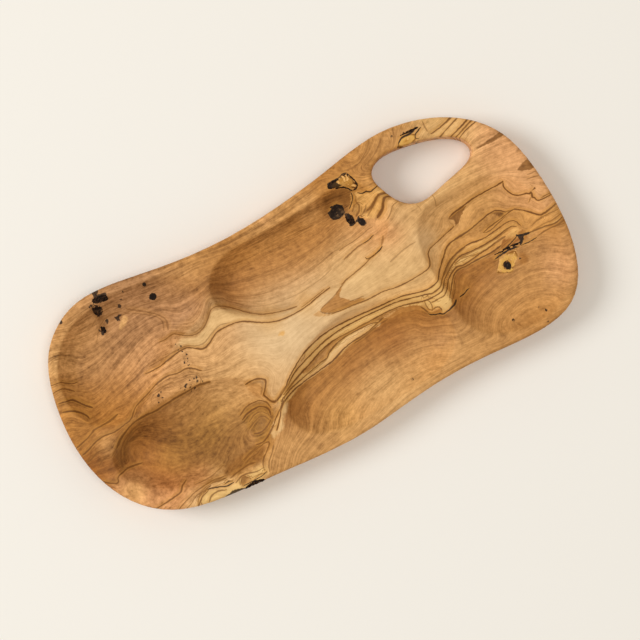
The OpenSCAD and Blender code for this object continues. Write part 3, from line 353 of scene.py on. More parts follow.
# Patches with an edge: tone, softness of the edge, corner points
PATCHES = [
    # golden wood of the whole bundle of stripes
    ("wheat", 0.8, [
        (-50, -48), (-40, -40.5), (-30, -32.5), (-20, -26), (-8, -21), (6, -17.8), (20, -16.7),
        (60, -17.8), (76, -20.5), (90, -21.8), (96, -19), (102, -11.5), (112, -1), (122, 2.2),
        (136, 4.2), (150, 7.5), (157, 8), (163, 4), (170, 3), (178, -2.5), (185, -9), (199, -6.5),
        (199, -17.5), (185, -18.5), (172, -18), (160, -15), (150, -17.5), (130, -18.5), (114, -18.8),
        (108, -21.5), (103, -28), (99, -33), (94, -37), (84, -37), (76, -33), (66, -29), (50, -28.2),
        (38, -29.6), (20, -32.5), (4, -37.5), (-10, -41), (-30, -44.5), (-46, -52)]),
    ("straw", 0.4, [
        (-34, -45.3), (-20, -43.4), (-8, -41.3), (0, -39), (8, -36), (16, -32.6), (24, -31.3),
        (34, -30), (40, -28), (38, -26.8), (28, -26.6), (18, -27.2), (12, -29.3), (6, -31.6), (1, -33),
        (-2, -35.8), (-8, -37.8), (-16, -39.8), (-26, -42.3)]),
    ("tan", 0.5, [
        (-26, -37.4), (-18, -34.3), (-10, -31), (-4, -28.6), (3, -26.8), (10, -25.6), (20, -25.2),
        (40, -24.5), (50, -24.2), (60, -24.3), (68, -25.6), (60, -26), (52, -26.3), (44, -27),
        (36, -26.2), (24, -26.3), (16, -26.7), (10, -27.6), (6, -29.2), (3, -30.5), (0, -32),
        (-3, -34.3), (-8, -35.4), (-14, -36.8), (-20, -38.2)]),
    ("clay", 0.6, [
        (42, -28), (46, -26.4), (54, -25.9), (62, -25.5), (69, -26.8), (74, -28.6), (77.5, -32),
        (79.5, -37), (76, -37), (72, -32), (64, -30), (52, -29.4), (44, -29.4)]),
    ("honey", 0.4, [(46, -27.3), (50, -26.4), (58, -25.8), (58, -26.5), (52, -27.2)]),
    ("amber", 0.6, [
        (97, -18.5), (102, -11.5), (112, -1), (122, 2.2), (136, 4.2), (150, 7.5), (157, 8), (163, 4),
        (170, 3), (178, -2.5), (185, -9), (199, -6.5), (199, -17.5), (185, -18.5), (172, -18),
        (160, -15), (150, -17.5), (130, -18.5), (114, -18.8), (108, -21.5), (103, -28), (99.5, -32)]),
    ("wheat", 0.5, [
        (84, -29), (96, -28.3), (98.5, -32), (98, -37), (96, -40.8), (92, -42), (88.5, -42.2),
        (88.6, -39), (87, -36.8), (84.5, -36.4), (83.2, -33)]),
    ("straw", 0.3, [(-28, -33), (-24, -29.5), (-18, -25.5), (-16.5, -26.5), (-19, -30), (-24, -32.3)]),
    ("gold", 0.4, [
        (108, -13), (114, -10), (122, -7.5), (132, -7.3), (142, -8), (152, -6.8), (160, -5.2),
        (165, -5.6), (166.5, -8), (160, -7.5), (152, -8.5), (142, -9.8), (130, -10), (120, -9.7),
        (113, -12)]),
    ("gold", 0.4, [(112, -16.3), (114, -14.3), (118, -13.4), (122, -14.6), (124, -16.2), (118, -16.9)]),
    ("gold", 0.5, [
        (157, -13), (160, -10.3), (164.5, -8.8), (167, -10), (166, -13), (163, -14.8), (159, -14)]),
    # golden wood between the two lines under the top well
    ("straw", 1.4, [
        (-99, 22), (-93, 24.5), (-88, 23), (-82, 22.2), (-76, 23.5), (-71, 27), (-66, 33), (-62, 34),
        (-57, 32.5), (-52, 29.5), (-46, 24.5), (-40, 19), (-34, 15), (-40, 13.5), (-46, 17), (-54, 19),
        (-62, 19.5), (-68, 18.7), (-73, 16), (-78, 13), (-83, 12.5), (-88, 15.5), (-93, 19)]),
    # brown wedges in the right well, on its rim and on the handle
    ("bister", 0.35, [
        (124.5, 10.8), (126.8, 13.5), (126.2, 16), (123, 18), (124.5, 19.3), (130, 20.8), (136, 21.8),
        (140.5, 21.9), (135.8, 18.6), (131.6, 15), (128, 11.8)]),
    ("bister", 0.35, [
        (152, 8.2), (156, 8.6), (160, 7.3), (163, 4.6), (160.5, 2.6), (156.5, 2.6), (157.8, 4.4),
        (155.3, 6)]),
    ("bister", 0.5, [(163, 55.4), (172, 57.3), (180, 58.6), (188.3, 59.3), (187.6, 55.7), (176, 54.6)]),
    ("bister", 0.5, [(184, 28.4), (189, 31.2), (196, 33.2), (197, 24.6), (192, 24.1), (187.3, 25.8)]),
    # the brown tongue on the spine and a small golden spot
    ("honey", 0.7, [(1, -2), (7, -0.5), (8, -4), (14, -7), (22, -8.4), (12, -7.6), (5, -5)]),
    ("clay", 0.45, [
        (7.5, -1.3), (10, 0.2), (16, 2), (22, 4.2), (28, 7.5), (33, 10), (29, 6.2), (26, 3.3),
        (25.4, 1.2), (28, -1.2), (30.3, -3), (31.5, -5), (36, -5.4), (41.3, -5.7), (40, -6.8),
        (42.5, -8.6), (34, -8.6), (24, -8), (15, -6.6), (10, -4.5)]),
    ("gold", 0.9, [(-27.5, -4), (-25, -2.3), (-22.5, -3.2), (-22.5, -5), (-25, -6)]),
    # about the knot in the right well
    ("gold", 0.5, [
        (100.3, -26), (103, -22.3), (105.8, -21.3), (106.2, -25), (103.2, -29.6), (101.4, -29.4)]),
    ("gold", 0.8, [
        (104, -14), (110, -10.3), (118, -7.8), (130, -6), (142, -6.8), (154, -5), (154, -8),
        (145, -9.8), (136, -10.4), (128, -10.3), (120, -10), (112, -12.8), (106, -16)]),
    ("wheat", 0.8, [
        (106, -17.3), (112, -13.4), (120, -11), (136, -11.4), (150, -9.8), (147, -12.6), (140, -13.9),
        (132, -14.8), (124, -16.1), (118, -16.8), (113, -16), (108, -18)]),
    ("gold", 0.8, [
        (100, -12), (106, -6), (112, 0.2), (121, 3.4), (134, 5), (147, 8.3), (147, 6.6), (134, 3.2),
        (121, 1.6), (114, -1), (108, -6), (103, -11)]),
    ("clay", 3.5, [
        (100, -34), (108, -24), (120, -21), (134, -20.5), (142, -23), (138, -28), (126, -31),
        (114, -36), (104, -42)]),
    ("umber", 1.2, [
        (149, -16.6), (153, -13), (158, -14.8), (163, -16.2), (166, -13), (170, -14), (170, -20),
        (160, -20), (150, -20.5)]),
    ("clay", 1.6, [
        (159, -28), (163, -29), (165, -33), (162, -37), (157, -37), (155, -33), (158, -30.5)]),
    ("gold", 0.35, [
        (138, -33.2), (140, -34.6), (144, -35), (146.5, -37.4), (148.5, -37.2), (151, -34.3),
        (156, -30.8), (158.8, -26.5), (158, -24), (150, -23.6), (145, -24.2), (142, -28)]),
    ("chestnut", 0.4, [
        (143.5, -30), (145.5, -27.2), (148.5, -26.6), (151, -28.5), (152, -31.5), (150.5, -34.5),
        (148.5, -36.5), (146, -35.5), (144, -33)]),
    # about the knots of the top well and the handle
    # Partly painted shade: the bister patch is brown wood, darkened further where the top well's back wall
    # lies in shade beside the knot.
    ("bister", 2.2, [(40, 60), (46, 72), (54, 76), (62, 75), (66, 68), (64, 60), (58, 57), (50, 56)]),
    ("gold", 0.8, [
        (66, 67), (70, 66), (75, 62.8), (80, 60.8), (86, 62.3), (89.5, 57), (91, 52), (86, 50),
        (80, 45), (76, 42), (70, 44), (66, 49), (62, 53), (63, 58)]),
    ("smoke", 0.5, [
        (45, 57), (46.5, 61.5), (50, 64), (54, 64.3), (57, 61), (57, 57), (54, 54), (49, 53.8),
        (46, 55)]),
    ("gold", 0.4, [
        (56, 79.2), (62, 79.8), (68, 81), (70.5, 79), (72, 72), (71, 69.4), (68, 69), (64, 74),
        (60, 77)]),
    ("gold", 0.3, [(112, 81), (116, 85.6), (120, 86.2), (128, 86), (126.5, 83.5), (127, 81)]),
    # loops at the right end of the front left well, and the pale wood beside them
    ("moss", 2.4, [
        (-80, -45), (-72, -42), (-63, -42.5), (-57, -47), (-56, -55), (-60, -63), (-67, -70),
        (-74, -72), (-78, -66), (-80, -56)]),
    ("tan", 1.8, [
        (-66, -27), (-60, -26.5), (-54, -28), (-52.5, -30.5), (-55.5, -36), (-58.5, -40), (-63, -38),
        (-66, -32)]),
    ("straw", 1.6, [
        (-66, -66), (-60, -60.5), (-54, -56), (-47, -50), (-44, -52), (-50, -60), (-56, -68),
        (-64, -71)]),
    ("bister", 3.0, [
        (-112, -76), (-100, -72), (-84, -70), (-74, -70), (-70, -73), (-78, -82), (-92, -82),
        (-108, -82)]),
    # about the bark in the front rim
    ("wheat", 1.4, [
        (-133, -88), (-130, -85.8), (-126, -84.3), (-120, -85.5), (-114, -88.5), (-106, -88),
        (-100, -87), (-92, -86.5), (-84, -86), (-78, -87), (-79, -92), (-88, -94), (-110, -95.5),
        (-126, -94), (-132, -92)]),
    ("tan", 1.0, [(-101, -92), (-100, -87.5), (-96, -86), (-93, -88.5), (-94, -93)]),
    # pale streak among the bark of the left well
    ("honey", 0.9, [
        (-125, 60.5), (-122.5, 57), (-124, 54.5), (-128, 52.5), (-133, 51), (-131, 54), (-128, 57)]),
]

# Black patches of bark, as corner points
BLACK_PATCHES = [
    # round the knots of the top well
    [
        (52.3, 78), (53.5, 80.6), (58, 81.4), (61.5, 80.4), (60, 78.6), (61, 76.6), (63, 75),
        (59, 74.8), (54, 76.4)],
    [(55, 54.5), (58, 55.5), (60, 52), (60.3, 46), (57, 44.6), (55, 45), (56, 49)],
    [(61.5, 48), (64, 49), (66.5, 46), (67, 42.5), (65, 41), (62.5, 43.5)],
    [
        (45.3, 57), (46.5, 61), (50, 63.8), (54, 64.4), (56.8, 62), (56, 60), (53, 61.6), (49.5, 60.2),
        (48, 56.5)],
    # in the left well
    [
        (-143, 74), (-139, 74.5), (-136.5, 72), (-137, 69.5), (-139.5, 69), (-141, 66.3), (-142.3, 67),
        (-140.8, 70), (-143, 71)],
    [(-146.3, 59), (-145, 56.5), (-142, 58.5), (-141, 57.5), (-143, 54), (-145, 52.8), (-146, 54.5)],
    [(-131.5, 61), (-128, 61.3), (-124.8, 61.8), (-128, 60.3), (-129, 57.2), (-130.8, 57.5)],
    [(-140, 80), (-136, 81.5), (-128.5, 80), (-128.5, 76.8), (-131, 74.8), (-137, 75), (-140.5, 77)],
    [(-144.5, 77), (-141, 76.5), (-141.5, 75), (-144.5, 75)],
    [(-140, 84.8), (-133, 85), (-134, 82), (-136, 81.5), (-137, 83.3)],
    [(-102, 63.5), (-99.5, 64.8), (-97.5, 64), (-96.3, 65), (-96.5, 61.5), (-99, 60), (-101.8, 61)],
    # in the front rim, and above the knot of the right well and in it
    [(-117, -94.8), (-113, -93.2), (-108, -92.6), (-104, -93), (-100, -94.2), (-98, -96), (-117, -96)],
    [
        (163, -14.6), (166, -15.2), (170, -16), (174, -16.8), (170, -18.2), (167.5, -18), (166, -20.5),
        (163.5, -23), (162, -22.3), (164.5, -19), (163.5, -17.5)],
    [(142, -23.8), (150, -21.7), (158, -21.5), (161, -22.7), (158, -23.2), (150, -23.3)],
    [
        (145.3, -31), (147, -29.8), (149.5, -30.5), (150.4, -32.5), (149.5, -35), (148, -36),
        (146, -34.5)],
]

# Soft brown stains: amount, width at the start and at the end, points
BROWN_STAINS = [
    (0.55, 2.4, 2.4, [
        (-62, -26), (-55, -27), (-51, -31), (-54, -36), (-57, -40), (-55, -45), (-50, -48)]),
    (0.5, 3.0, 3.0, [(-70, -41), (-61, -44), (-57.5, -50), (-59, -57)]),
    (0.5, 2.0, 4.0, [(190, 41), (198, 44)]),
    (0.4, 2.0, 4.0, [(191, 14), (199, 10)]),
    (0.45, 4.0, 4.0, [(78, -32), (79, -40)]),
    (0.35, 2.5, 2.5, [(91, -44), (92, -56), (91, -70)]),
    (0.6, 3.5, 3.0, [(70, 50), (76, 50.5), (80, 53.5), (84, 56), (89, 55)]),
    (0.6, 4.0, 2.5, [(76, 42.5), (81, 45), (84.5, 49.5), (87.5, 52.5), (91, 51)]),
    (0.5, 4.0, 4.0, [(63, 52), (66, 58), (67, 65)]),
    (0.5, 3.0, 4.0, [(79, -39), (84, -43), (90, -45)]),
    (0.5, 1.0, 5.0, [(-196, -42), (-182, -49)]),
    (0.55, 5.0, 9.0, [(-143, 73), (-140, 66), (-143, 56)]),
    (0.35, 3.0, 3.0, [(-199, -16), (-192, -14.5), (-186, -12.5), (-181, -10)]),
    (0.3, 4.0, 4.0, [(-199, -28), (-192, -30), (-186, -34), (-182, -40)]),
    (0.4, 6.0, 6.0, [(-138, 64), (-132, 62), (-126, 62)]),
    (0.35, 4.0, 4.0, [(138, -37.5), (146, -40.5), (154, -39)]),
    (0.45, 3.0, 3.0, [
        (-197, -20), (-190, -17.5), (-184, -15), (-176, -13.5), (-168, -14.3), (-160, -13), (-153, -11),
        (-149.5, -8)]),
    (0.4, 3.0, 3.0, [(-150, -7), (-142, -2.5), (-132, 1), (-124, 4), (-114, 6), (-104, 5)]),
    (0.45, 3.5, 3.5, [(-150, -16.5), (-136, -16), (-124, -15), (-110, -13.5), (-98, -13)]),
    (0.3, 2.0, 3.0, [(-192, 19), (-186, 17), (-181, 13)]),
    (0.35, 3.0, 4.0, [(-192, 10), (-186, 7), (-182, 2), (-177, -2)]),
    (0.4, 4.0, 4.0, [(-120, 15.5), (-108, 16.8), (-98, 18), (-92, 17.5)]),
    (0.45, 3.0, 3.0, [
        (-104, 31.5), (-98, 32.5), (-93, 29.5), (-88, 26), (-82, 24.6), (-76, 26), (-71, 29.5),
        (-67, 33.5)]),
    (0.3, 6.0, 6.0, [(-190, -36), (-184, -38), (-177, -38)]),
    (0.4, 3.0, 3.0, [(-134, -80), (-124, -79), (-114, -78)]),
    (0.5, 3.0, 4.0, [(-140, -85), (-132, -84), (-126, -82.5)]),
    (0.4, 2.5, 2.5, [(-84, -78), (-78, -84), (-80, -91)]),
    (0.5, 4.0, 4.0, [(-163, -19), (-170, -25), (-174, -33), (-174, -42)]),
    (0.4, 3.0, 3.0, [(-157, -21), (-163, -27), (-166, -35), (-165, -43)]),
]

# Small dark flecks: x, y, size
FLECKS = [
    (-97, 5, 1.6), (-96, 8, 1.4), (-98, 11, 1.6), (-95, 13, 1.3), (-97, 16, 1.6), (-96, 20, 1.2),
    (-127, -5, 2.4), (-125, -8, 1.8), (-106, -8, 2.2), (-103, -10, 1.6), (-96, -8, 2.0), (-98, -5, 1.4),
    (-100, -12, 1.4), (-93, -10, 1.4), (-97.5, 27, 1.2), (-98.5, 23.5, 1.1), (-96.5, 22, 0.9),
    (-99, 18, 1.0), (-95.5, 10, 1.0), (-99, 8, 1.1), (-97.5, 2.5, 1.2), (-99.5, 0, 1.0),
    (-130, -3.5, 1.3), (-128.5, -7.5, 1.4), (-124.5, -4, 1.2), (-129, -10, 1.1), (-118, -9, 1.2),
    (-110, -7.5, 1.2), (-108, -10.5, 1.4), (-104.5, -7, 1.4), (-101, -8.5, 1.5), (-98, -9.5, 1.3),
    (-95, -5, 1.2), (-93.5, -7.5, 1.3), (-101, -5.5, 1.0), (-101.5, -13, 1.2), (-104, -12.5, 1.1),
    (-100.5, -16, 1.1), (-124.5, 67, 3.0), (-138, 61, 3.0), (-130, 59.5, 3.4), (-117, 75, 1.2),
    (-110, 70, 1.2), (-121, 71, 1.4), (-136, 83.6, 4.4), (47, -77, 2.0), (133, -70, 2.4),
    (154, -70, 2.2), (158, -74, 2.0), (155, -82, 1.8), (158, -32, 2.2), (112, 91, 1.6), (120, 90, 2.2),
    (-168, 75, 2.4),
]

# Wood tones as they show in plain light, 0 to 255
TONES = {
    "cream": (229, 191, 140),
    "straw": (226, 181, 120),
    "honey": (212, 158, 95),
    "amber": (212, 152, 82),
    "rose": (210, 151, 93),
    "tan": (195, 139, 77),
    "clay": (178, 118, 53),
    "russet": (200, 128, 70),
    "umber": (152, 92, 35),
    "bister": (142, 92, 40),
    "gold": (224, 168, 94),
    "peach": (224, 162, 104),
    "mauve": (174, 123, 77),
    "wheat": (234, 188, 116),
    "moss": (160, 110, 46),
    "smoke": (70, 54, 36),
    "chestnut": (116, 70, 26),
}
GRAIN_BROWN = (110, 65, 24)
STAIN_BROWN = (128, 82, 40)
SEAM_BLACK = (34, 23, 16)
LINE_GOLD = (204, 142, 62)

# Where each tone lies in the sapwood and in the heartwood: middle and reach in millimetres. Some zones on
# the walls of the wells are painted light or painted shade, as noted at them.
SAPWOOD = {
    # Painted light: the cream zone at (100, 12) and the straw zone at (99, 12) lighten the left wall of the
    # right well, which lies in shade.
    "cream": [(-35, -12, 34), (0, -10, 30), (100, 12, 8)],
    "straw": [
        (40, 0, 26), (78, 0, 22), (88, 34, 10), (-80, 22, 13), (-60, 37, 6), (150, 76, 18),
        (-125, -92, 18), (-118, -91, 8), (122, 45, 18), (99, 12, 12),
    ],
    "gold": [(-28, 9, 9), (0, 8, 8), (-175, -62, 7), (152, 77, 16)],
    # Painted light: the honey zone at (31, 69) lightens the back wall of the top well, which lies in shade.
    "honey": [
        (-75, -5, 24), (20, -26, 22), (-30, -40, 18), (112, 18, 22), (140, 32, 28), (31, 69, 7),
        (0, 82, 22), (-187, 53, 10), (-176, -22, 8), (-95, -92, 18),
    ],
    "rose": [(-72, 14, 16), (-115, 8, 28), (178, 8, 18), (76, 30, 18)],
    "amber": [(-60, -26, 18), (60, -26, 18), (88, -32, 14), (140, 12, 20), (125, -5, 22), (76, 55, 16)],
    "clay": [
        (125, -14, 12), (160, -10, 14), (72, 84, 22), (14, 56, 28), (-30, 54, 34), (-190, 20, 14),
        (-195, -8, 12), (-189, -1, 8), (-195, 2, 9), (-150, -5, 22),
    ],
    "peach": [(188, 36, 20), (176, 62, 22), (0, 77, 4), (-178, -62, 14), (-158, -79, 9)],
    "tan": [
        (100, 91, 26), (32, 69, 10), (-60, 75, 22), (-165, 68, 26), (-191, 28, 9), (-112, -20, 12),
        (-70, -60, 20),
    ],
    "russet": [(80, 29, 8), (-150, -73, 14), (-128, -75, 10)],
    # Partly painted shade: the umber zone at (-50, 44) and the chestnut zone at (-52, 50) darken the left
    # wall of the top well, which lies in shade, over its darker wood. The umber zones at (-186, -34) and
    # (-150, -30) darken the front left well, as the bister and moss zones do.
    "umber": [(-50, 44, 15), (-186, -34, 24), (-150, -30, 26)],
    "mauve": [(-85, 46, 24), (-80, 41, 12), (-80, 41, 9), (-130, 64, 34)],
    "chestnut": [(-52, 50, 7)],
    # Partly painted shade: the bister and moss zones darken the inside of the front left well, whose oiled
    # wood is darker and which lies in shade.
    "bister": [
        (-165, -33, 11), (-138, -24, 11), (-112, -24, 10), (-88, -62, 12), (-104, -66, 10),
        (-126, -58, 12),
    ],
    "moss": [(-106, -42, 26), (-72, -52, 16), (-136, -50, 14)],
}
HEARTWOOD = {
    "clay": [
        (15, -46, 36), (70, -68, 9), (-25, -58, 26), (70, -42, 14), (116, -38, 9), (190, -20, 12),
        (150, -82, 16),
    ],
    # Painted shade: the umber zones at (-42, -64) and (104, -47) darken the left walls of the front and
    # right wells, where they lie in shade.
    "umber": [
        (12, -50, 10), (50, -46, 9), (40, -42, 20), (74, -46, 16), (-42, -64, 13), (114, -30, 18),
        (104, -47, 14), (135, -22, 16),
    ],
    "honey": [
        (62, -57, 12), (30, -80, 28), (80, -72, 24), (-15, -86, 26), (-52, -84, 16), (20, -94, 22),
        (-110, -90, 22),
    ],
    "straw": [(25, -75, 18)],
    "gold": [(-12, -79, 11)],
    "tan": [
        (118, -56, 20), (150, -48, 30), (150, -68, 26), (182, -28, 14), (100, -78, 24), (-58, -82, 22),
    ],
    "peach": [(181, -48, 9)],
    "rose": [(184, -42, 16)],
    "russet": [(-150, -68, 36)],
}

# How the grain is drawn, in millimetres and in rings
RING_STEP = 6
LINE_STEP = 1.5
LINE_LAYERS = 4
LINE_ROOM = 5.0
LINE_TAPER = 4.0
LINE_BLUNT = 1.0
BLACK_DARKNESS = 2.0
NO_LINE = (9.0, -6.0, 0.0)
NO_PATCH = -6.0
PATCH_ROOM = 5
PLAIN_SOFTNESS = 0.5
STAIN_ROOM = 4
STAIN_OUTER = (1.4, 0.6)
STAIN_INNER = (0.6, -0.2)
STRIPE_REACH = 3.2
TONE_FLOOR = 1.0e-4
HEARTWOOD_STARTS = 11.35
HEARTWOOD_EDGE = 0.15
RINGS_PER_DEPTH = 0.2
RINGS_DOWN_SIDE = 0.22
DEEPEST_CUT = 13
DEPTH_SHOWS_FROM = 11
DEPTH_SHOWS_OVER = 2
LOW_SIDE = 9

# On the sides the drawing is unfolded from the rim
SIDE_TILT = 0.35
SIDE_BLEND = 0.25
SIDE_UNFOLDS = 0.4
LEAST_LEAN = 0.3
EDGE_ROUND = 3.0

# The sheet of ring numbers, and how much is worked out at once
SHEET_SPAN = 100.0
SHEET_SLACK = 2e-4
NET_SQUARE = 3.0
SLOPE_RANGE = (0.06, 1.2)
SPOTS_AT_ONCE = 4000
PATH_PIECES = 10

# Patterns along the grain: per metre along the board, per ring, per metre down, detail, roughness
STREAKS = (24, 2.2, 30, 5, 0.62)
FIBRES = (120, 8.0, 200, 4, 0.7)
PORES = (330, 11.0, 0.0, 1, 0.5)
SWATHES = (9, 0.9, 0.0, 3, 0.55)

# Even patterns: per metre, detail, roughness
WANDER = (70, 2, 0.5)
SHIVER = (420, 2, 0.5)
CLOUDS = (45, 4, 0.6)
FIGURE = (260, 4, 0.65)
PATCHINESS = (90, 2, 0.5)
BARK_CRUMBS = (700, 4, 0.65)
BARK_RIDGES = (260, 3, 0.6)
KNOT_SHAKES = (240, 3, 0.6)
KNOT_SPECKS = (900, 3, 0.6)

# How far the patterns move rings, lines and edges
RING_WANDER = 0.35
RING_SHIVER = 0.12
LINE_SHIVER = 0.9
PATCH_WANDER = 4.0
PATCH_SHIVER = 1.8
STAIN_SHIVER = 0.5
FLECK_SHIVER = 3.0
KNOT_RING_SHAKE = 0.35
KNOT_RINGS = 6.0

# How much each pattern lightens or darkens the wood
FIGURE_LIGHT = {"streak": 0.8, "fibre": 1.0, "swathe": 0.8, "figure": 0.9}
CLOUD_LIGHT = 0.5
YEAR_LIGHT = 0.22
YEAR_LINE_LIGHT = -0.08
PORE_LIGHT = -0.22
PLAIN_LIGHT = 0.76
GREEN_POWER = 1.15
BLUE_POWER = 1.4

# Eased steps: from, to, amount before and amount after
WILD_LEFT_END = (-0.04, -0.10, 0.7, 1.0)
WILD_BACK = (0.035, 0.065, 0.7, 0.95)
CALM_WHEN_PALE = (0.30, 0.50, 1.5, 0.55)
YEAR_LINE = (1.0, 0.2, 0.0, 1.0)
PORE_EDGE = (0.66, 0.78, 0.0, PORE_LIGHT)
STAIN_EDGE = (0.1, 0.85, 0.0, 0.9)
FLECK_EDGE = (-0.25, 0.25, 0.0, 0.9)
LINE_SWELL = (0.3, 0.7, 0.8, 1.5)
BAND_FADE = (-0.2, 0.2, 0.8, 2.8)
WOOD_ROUGHNESS = (0.2, 0.8, 0.58, 0.46)
BARK_CRUMB_EDGE = (0.42, 0.72, 0.0, 1.0)
BARK_RIDGE_EDGE = (0.55, 0.75, 0.0, 0.6)
KNOT_BODY_EDGE = (0.2, 0.75, 0.0, 1.0)
KNOT_RING_EDGE = (0.2, 0.0, 0.0, 0.35)
KNOT_RIM_EDGE = (0.95, 1.2, 0.0, 1.0)
KNOT_SPECK_EDGE = (0.6, 0.75, 0.0, 0.7)

# How far each layer covers what is under it, and the share of a line that is its dark core
PATCH_COVER = 0.9
BAND_COVER = 0.45
LINE_COVER = 0.92
LINE_CORE = 0.35

# Relief of the surfaces in millimetres, and how much light they throw back
WOOD_RELIEF = 0.06
LINE_RELIEF = -0.6
BARK_RELIEF = 0.5
KNOT_RELIEF = 0.2
WOOD_SHINE = 0.15
BARK_SHINE = 0.05
KNOT_SHINE = 0.1
BARK_ROUGHNESS = 0.85
KNOT_ROUGHNESS = 0.65

# Bark and knots: tones 0 to 255. A knot has a middle, a body and an edge.
BARK_HOLLOW = (24, 17, 13)
BARK_CRUMB = (74, 48, 30)
BARK_RIDGE = (120, 78, 42)
DARK_KNOT = ((34, 25, 18), (58, 43, 29), (24, 17, 13))
KNOT_HEART = ((30, 21, 15), (58, 36, 20), (44, 26, 14))
GOLDEN_KNOT = ((196, 136, 58), (226, 172, 88), (150, 96, 38))
AMBER_KNOT = ((210, 154, 78), (194, 136, 60), (110, 66, 26))

BARK_NODES = [
    "left_rim_bark", "left_well_bark", "left_well_low_bark", "top_rim_bark", "top_well_bark",
    "right_well_bark", "front_rim_bark", "handle_bark",
]
DARK_KNOT_NODES = [
    "left_well_knot", "left_well_pin_knot", "top_well_knot", "top_well_small_knot",
    "right_well_knot_heart",
]
GOLDEN_KNOT_NODES = ["top_rim_knot", "right_well_knot", "handle_knot"]
ROUND_KNOT_NODES = ["left_well_knot", "left_well_pin_knot"]

# The photograph's frame: straight down, the board turned against the image
FRAME_PIXELS = 640
PIXEL_IN_MM = 0.73765
BOARD_TURN = math.radians(26)
FRAME_MIDDLE = (4.65, -7.46)
CAMERA_HEIGHT = 2.0
CAMERA_REACH = 20
SENSOR_WIDTH = 36

# Lamps: side they come from in the image and rise in degrees, distance and size in metres, watts
LAMPS = {
    "key_light": (174, 41, 4.5, 2.3, 111),
    "high_light": (-10, 81, 4.5, 1.6, 45),
}
LAMP_COLOUR = (0.911, 0.948, 1.0)
ROOM_LIGHT = 0.48
ROOM_COLOUR = (1.0, 0.955, 0.89, 1.0)
FLOOR_TONE = (245, 239, 228)
FLOOR_SIZE = 6
FLOOR_ROUGHNESS = 0.95
FLOOR_SHINE = 0.1


def linear(tone):
    """The tone, written 0 to 255, as the linear colour that shaders take."""
    share = np.asarray(tone, float) / 255
    return np.where(share <= 0.04045, share / 12.92, ((share + 0.055) / 1.055) ** 2.4)


def colour(tone):
    return (*(float(part) for part in linear(tone)), 1.0)


# Modelling by hand

def pick_only(*objects):
    bpy.ops.object.select_all(action="DESELECT")
    for item in objects:
        item.select_set(True)
    bpy.context.view_layer.objects.active = objects[0]


def apply_modifier(piece, kind, **settings):
    pick_only(piece)
    step = piece.modifiers.new(kind.title(), kind)
    for name, value in settings.items():
        setattr(step, name, value)
    bpy.ops.object.modifier_apply(modifier=step.name)


def skin_evenly(piece, voxel):
    apply_modifier(piece, "REMESH", mode="VOXEL", voxel_size=voxel * MM, adaptivity=0)


def push_by_clouds(piece, texture_name, size, detail, **settings):
    """Moves the surface in and out by a cloud pattern of the given size in millimetres."""
    clouds = bpy.data.textures.new(texture_name, "CLOUDS")
    clouds.noise_scale = size * MM
    clouds.noise_depth = detail
    apply_modifier(piece, "DISPLACE", texture=clouds, texture_coords="LOCAL", direction="NORMAL",
                   **settings)


def merged_copy(names, label):
    """A copy of CAD nodes as one piece, with the loose triangles merged."""
    pick_only(*(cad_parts[name] for name in names))
    bpy.ops.object.duplicate()
    piece = bpy.context.view_layer.objects.active
    if len(names) > 1:
        bpy.ops.object.join()
    for key in list(piece.keys()):
        del piece[key]
    piece.name = label
    piece.data.name = label
    bpy.ops.object.mode_set(mode="EDIT")
    bpy.ops.mesh.select_all(action="SELECT")
    bpy.ops.mesh.remove_doubles(threshold=SAME_POINT * MM)
    bpy.ops.object.mode_set(mode="OBJECT")
    return piece


def vertex_values(piece, field):
    values = np.empty(len(piece.data.vertices) * 3)
    piece.data.vertices.foreach_get(field, values)
    return values.reshape(-1, 3)


def vertex_places(piece):
    return vertex_values(piece, "co") / MM


def group_vertices(piece, name, chosen):
    group = piece.vertex_groups.new(name=name)
    group.add([int(index) for index in np.flatnonzero(chosen)], 1.0, "REPLACE")


def keep_number(piece, name, values):
    layer = piece.data.attributes.new(name, "FLOAT", "POINT")
    layer.data.foreach_set("value", np.ascontiguousarray(values, np.float32))


def keep_vector(piece, name, values):
    layer = piece.data.attributes.new(name, "FLOAT_VECTOR", "POINT")
    layer.data.foreach_set("vector", np.ascontiguousarray(values, np.float32).ravel())


def keep_tone(piece, name, values):
    layer = piece.data.attributes.new(name, "FLOAT_COLOR", "POINT")
    opaque = np.ones((len(values), 4), np.float32)
    opaque[:, :3] = values
    layer.data.foreach_set("color", opaque.ravel())


def shade_smooth(piece):
    pick_only(piece)
    bpy.ops.object.shade_smooth()


# The carved board

def carve_board():
    """The whole board in one even skin, its crests eased as sanding does and its base flat."""
    board = merged_copy(list(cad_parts), "carved_board")
    skin_evenly(board, BOARD_VOXEL)
    apply_modifier(board, "SMOOTH", factor=SMOOTHING, iterations=BOARD_SMOOTHING_TURNS)
    group_vertices(board, "upper_face", vertex_places(board)[:, 2] > LOW_SIDE)
    push_by_clouds(board, "hand_tool_wave", HAND_TOOL_WAVE_LENGTH, 1, vertex_group="upper_face",
                   mid_level=1.0, strength=HAND_TOOL_WAVE * MM)
    thin_base(board)
    shade_smooth(board)
    return board


